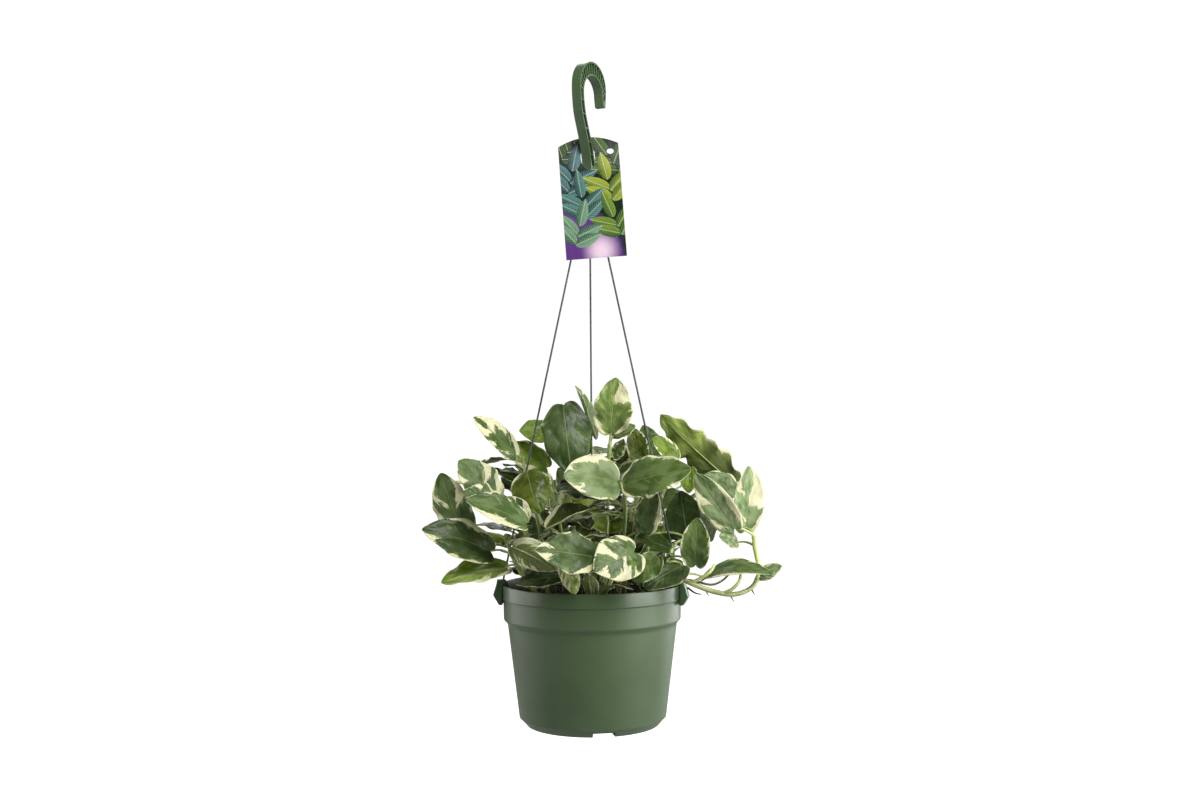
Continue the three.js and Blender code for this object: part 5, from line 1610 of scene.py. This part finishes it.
LEAFY_STEM = leafy_stem_tree()
LEAF_FINISH = leaf_finish()
STEM_FINISH = stem_finish()
up[np.flatnonzero(stem_of == LONG_LEAF[0])[LONG_LEAF[1]]] = LONG_LEAF_FACE
along, face, _ = blade_axes()
midrib_u = np.linspace(*MIDRIB_SPAN, MIDRIB_STEPS)
midribs = blade_points(midrib_u, np.zeros(MIDRIB_STEPS)) - face[:, None] * MIDRIB_DROP
leaf_draws = draws(SEED + 900)
leaf_seeds = np.array([next(leaf_draws) for _ in rows])
leaf_ruffles = np.array([0.5 + 1.4 * next(leaf_draws) for _ in rows])
leaf_waves = np.array([7 + 7 * next(leaf_draws) for _ in rows])
buckled = np.flatnonzero(stem_of == BUCKLED_LEAF[0])[BUCKLED_LEAF[1]]
leaf_ruffles[buckled], leaf_waves[buckled] = BUCKLE
leaf_points = np.array([BLADE_POINT[0] + (BLADE_POINT[1] - BLADE_POINT[0]) * next(leaf_draws) for _ in rows])
leaf_points[buckled] = BUCKLED_POINT
leaf_greens = np.array([GREENS[leaf[8]][:3] for _, leaf in rows])
leaf_tips = leaf_greens * np.array([[0.85 + 0.5 * next(leaf_draws)] for _ in rows])
# The buckled leaf runs from olive at its base to that pale lime at its tip: partly its own colour, partly
# painted glow of light passing through it from behind.
leaf_greens[buckled] = GREENS["olive"][:3]
leaf_values = dict(base=placed(base), along=along, face=face, length=length * MM, width=width * MM,
                   curl=curl, cup=cup, lobe=lobe, seed=leaf_seeds, ruffle=leaf_ruffles, waves=leaf_waves,
                   point=leaf_points, green=leaf_greens, tip=leaf_tips,
                   margin=np.array([leaf[9] for _, leaf in rows]))
for k in range(MOST_WEDGES):
    wedge = [leaf[10][k] if len(leaf[10]) > k else (0, 0, 0) for _, leaf in rows]
    leaf_values[f"wedge_{k + 1}"] = np.array(wedge)

# The stem that trails over the rim is thicker and paler, with side shoots, a dry branch and stubs of
# aerial roots at its nodes.
TRAILING_STEM = len(FRONT_STEMS) - 1
TRAILING_GIRTH = 1.45
SHOOT_STEPS = 14
SHOOTS = [
    ([(104, -70, 163), (114, -73, 168), (126, -74, 176), (131, -70, 183)], (2.2, 1.6), 1),
    ([(140, -71, 152), (150, -74, 158), (157, -75, 167), (158, -72, 176)], (2.3, 1.5), 1),
    ([(96, -62, 167), (112, -72, 165), (128, -74, 162), (140, -72, 167), (148, -70, 175)], (1.5, 1.0), -1),
    ([(102, -66, 158), (110, -72, 153), (116, -76, 152)], (1.2, 0.5), -1),
]
STUBS = (0.33, 0.47, 0.6, 0.72, 0.86)
STUB = [(0, 0, 0), (1.5, -1, -4), (3.5, -1.5, -7.5)]
STUB_RADII = (1.5, 0.9, 0.35)

for i, (foot, path, leaves) in enumerate(stems):
    own = np.flatnonzero(stem_of == i)
    own_leaves = [rows[leaf][1] for leaf in own]
    points, edges, thickness, tones = [], [], [], []

    def rod(line, radii, tone):
        """Adds a line of points to the stem's rods."""
        first = len(points)
        points.extend(line)
        thickness.extend(radii)
        tones.extend([tone] * len(line))
        edges.extend((first + k, first + k + 1) for k in range(len(line) - 1))

    parts = np.linspace(0, 1, int(courses[i].length / STEM_STEP) + 2)
    node_at = np.array([leaf[0] for leaf in own_leaves] + [0.0])
    swell = np.exp(-((parts[:, None] - node_at) * courses[i].length / NODE_REACH) ** 2).max(1)
    trails = i == TRAILING_STEM
    girth = TRAILING_GIRTH if trails else 1
    radii = STEM_RADIUS * (1 - STEM_TAPER * parts) * girth + NODE_SWELL * swell
    rod(courses[i].at(parts), radii, 1 if trails else 0.15)
    if trails:
        for line, (thick, thin), tone in SHOOTS:
            rod(curve_points(line, np.linspace(0, 1, SHOOT_STEPS)), np.linspace(thick, thin, SHOOT_STEPS),
                tone)
        for share in STUBS:
            rod(courses[i].at(share) + STUB, STUB_RADII, 0.6)
    stalks = petiole_points(np.linspace(0, 1, STALK_STEPS))[own]
    for stalk, midrib in zip(stalks, midribs[own]):
        stalk[0] -= unit(stalk[1] - stalk[0]) * STALK_SUNK
        taper = 1 + STALK_FLARE * np.linspace(1, 0, STALK_STEPS) ** 2
        line = np.vstack([stalk[:-1], midrib])
        radii = np.concatenate([PETIOLE_RADIUS * taper[:-1], np.linspace(*MIDRIB, len(midrib))])
        rod(line, radii, 0.9 if trails else 0.4)
    rods = len(points)
    points.extend(base[own])

    def on_blades(values):
        """An attribute that only the leaf points need: none for the rods."""
        values = np.asarray(values, float)
        return np.concatenate([np.zeros((rods, *values.shape[1:])), values])

    vine = new_piece(f"vine_{i + 1:02d}_leaves", points, [], None, edges=edges)
    marked(vine, rod_radius=np.concatenate([thickness, np.zeros(len(own))]) * MM,
           stem_tone=np.concatenate([tones, np.zeros(len(own))]), is_blade=on_blades(np.ones(len(own))),
           **{f"leaf_{name}": on_blades(values[own]) for name, values in leaf_values.items()})
    grown(vine, LEAFY_STEM, Blade_Rows=BLADE_ROWS, Blade_Columns=BLADE_COLUMNS,
          Blade_Thickness=BLADE_THICKNESS * MM, Blade_Wave=BLADE_WAVE, Blade_Pucker=BLADE_PUCKER,
          Fold=FOLD, Rod_Sides=ROD_SIDES, Leaf_Finish=LEAF_FINISH, Stem_Finish=STEM_FINISH)
    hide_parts(f"vine_{i + 1:02d}")
    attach(vine, "root")

# Camera, floor and light
# A level view from a little to the right of the axis, rolled as the photograph is. The pot hangs
# clear of a pale floor, under broad soft lamps and a pale sky.
CAMERA_AT = (10.0, -1650, 358.6)
CAMERA_ROLL = 0.35
FOCAL_PIXELS = 1486
PHOTO_WIDTH = 1200
FLOOR_DROP = 0.32
FLOOR_HALF = 30
LAMP_TARGET = Vector((0, 0, -0.45))

camera = new_object("camera", bpy.data.cameras.new("camera"))
camera.data.sensor_width = 36
camera.data.lens = camera.data.sensor_width * FOCAL_PIXELS / PHOTO_WIDTH
camera.location = placed(CAMERA_AT)
camera.rotation_euler = (math.radians(90), math.radians(CAMERA_ROLL), 0)
bpy.context.scene.camera = camera

floor_mesh = bpy.data.meshes.new("floor")
floor_level = UNDERSIDE - FLOOR_DROP
corners = [(x * FLOOR_HALF, y * FLOOR_HALF, floor_level) for x, y in ((-1, -1), (1, -1), (1, 1), (-1, 1))]
floor_mesh.from_pydata(corners, [], [(0, 1, 2, 3)])
floor = new_object("floor", floor_mesh)
floor_finish, tree, surface = new_finish("pale floor")
surface.inputs["Base Color"].default_value = (0.35, 0.35, 0.35, 1)
surface.inputs["Roughness"].default_value = 0.9
surface.inputs["Emission Color"].default_value = (1, 1, 1, 1)
fed(tree, surface.inputs["Emission Strength"], laid(tree, "ShaderNodeLightPath") * 1.1)
floor.data.materials.append(floor_finish)

world = bpy.data.worlds.new("pale surroundings")
world.use_nodes = True
tree = world.node_tree
seen = laid(tree, "ShaderNodeLightPath")
tree.nodes["Background"].inputs["Color"].default_value = (1, 1, 1, 1)
fed(tree, tree.nodes["Background"].inputs["Strength"], 0.1 + seen * 0.94)
bpy.context.scene.world = world
bpy.context.scene.view_settings.view_transform = "Standard"

LAMPS = [
    ("key", (0.6, -1.35, 1.7), 1.1, 54),
    ("left", (-1.75, 0.25, -0.05), 1.9, 30),
    ("right", (1.75, -0.7, -0.1), 1.6, 52),
    ("far right", (1.6, 1.1, -0.05), 1.5, 27),
    ("back", (-0.6, 1.5, 1.2), 1.2, 20),
]
for name, place, size, power in LAMPS:
    lamp = new_object(name, bpy.data.lights.new(name, "AREA"))
    lamp.data.size = size
    lamp.data.energy = power
    lamp.location = LAMP_TARGET + Vector(place)
    lamp.rotation_euler = (LAMP_TARGET - lamp.location).to_track_quat("-Z", "Y").to_euler()
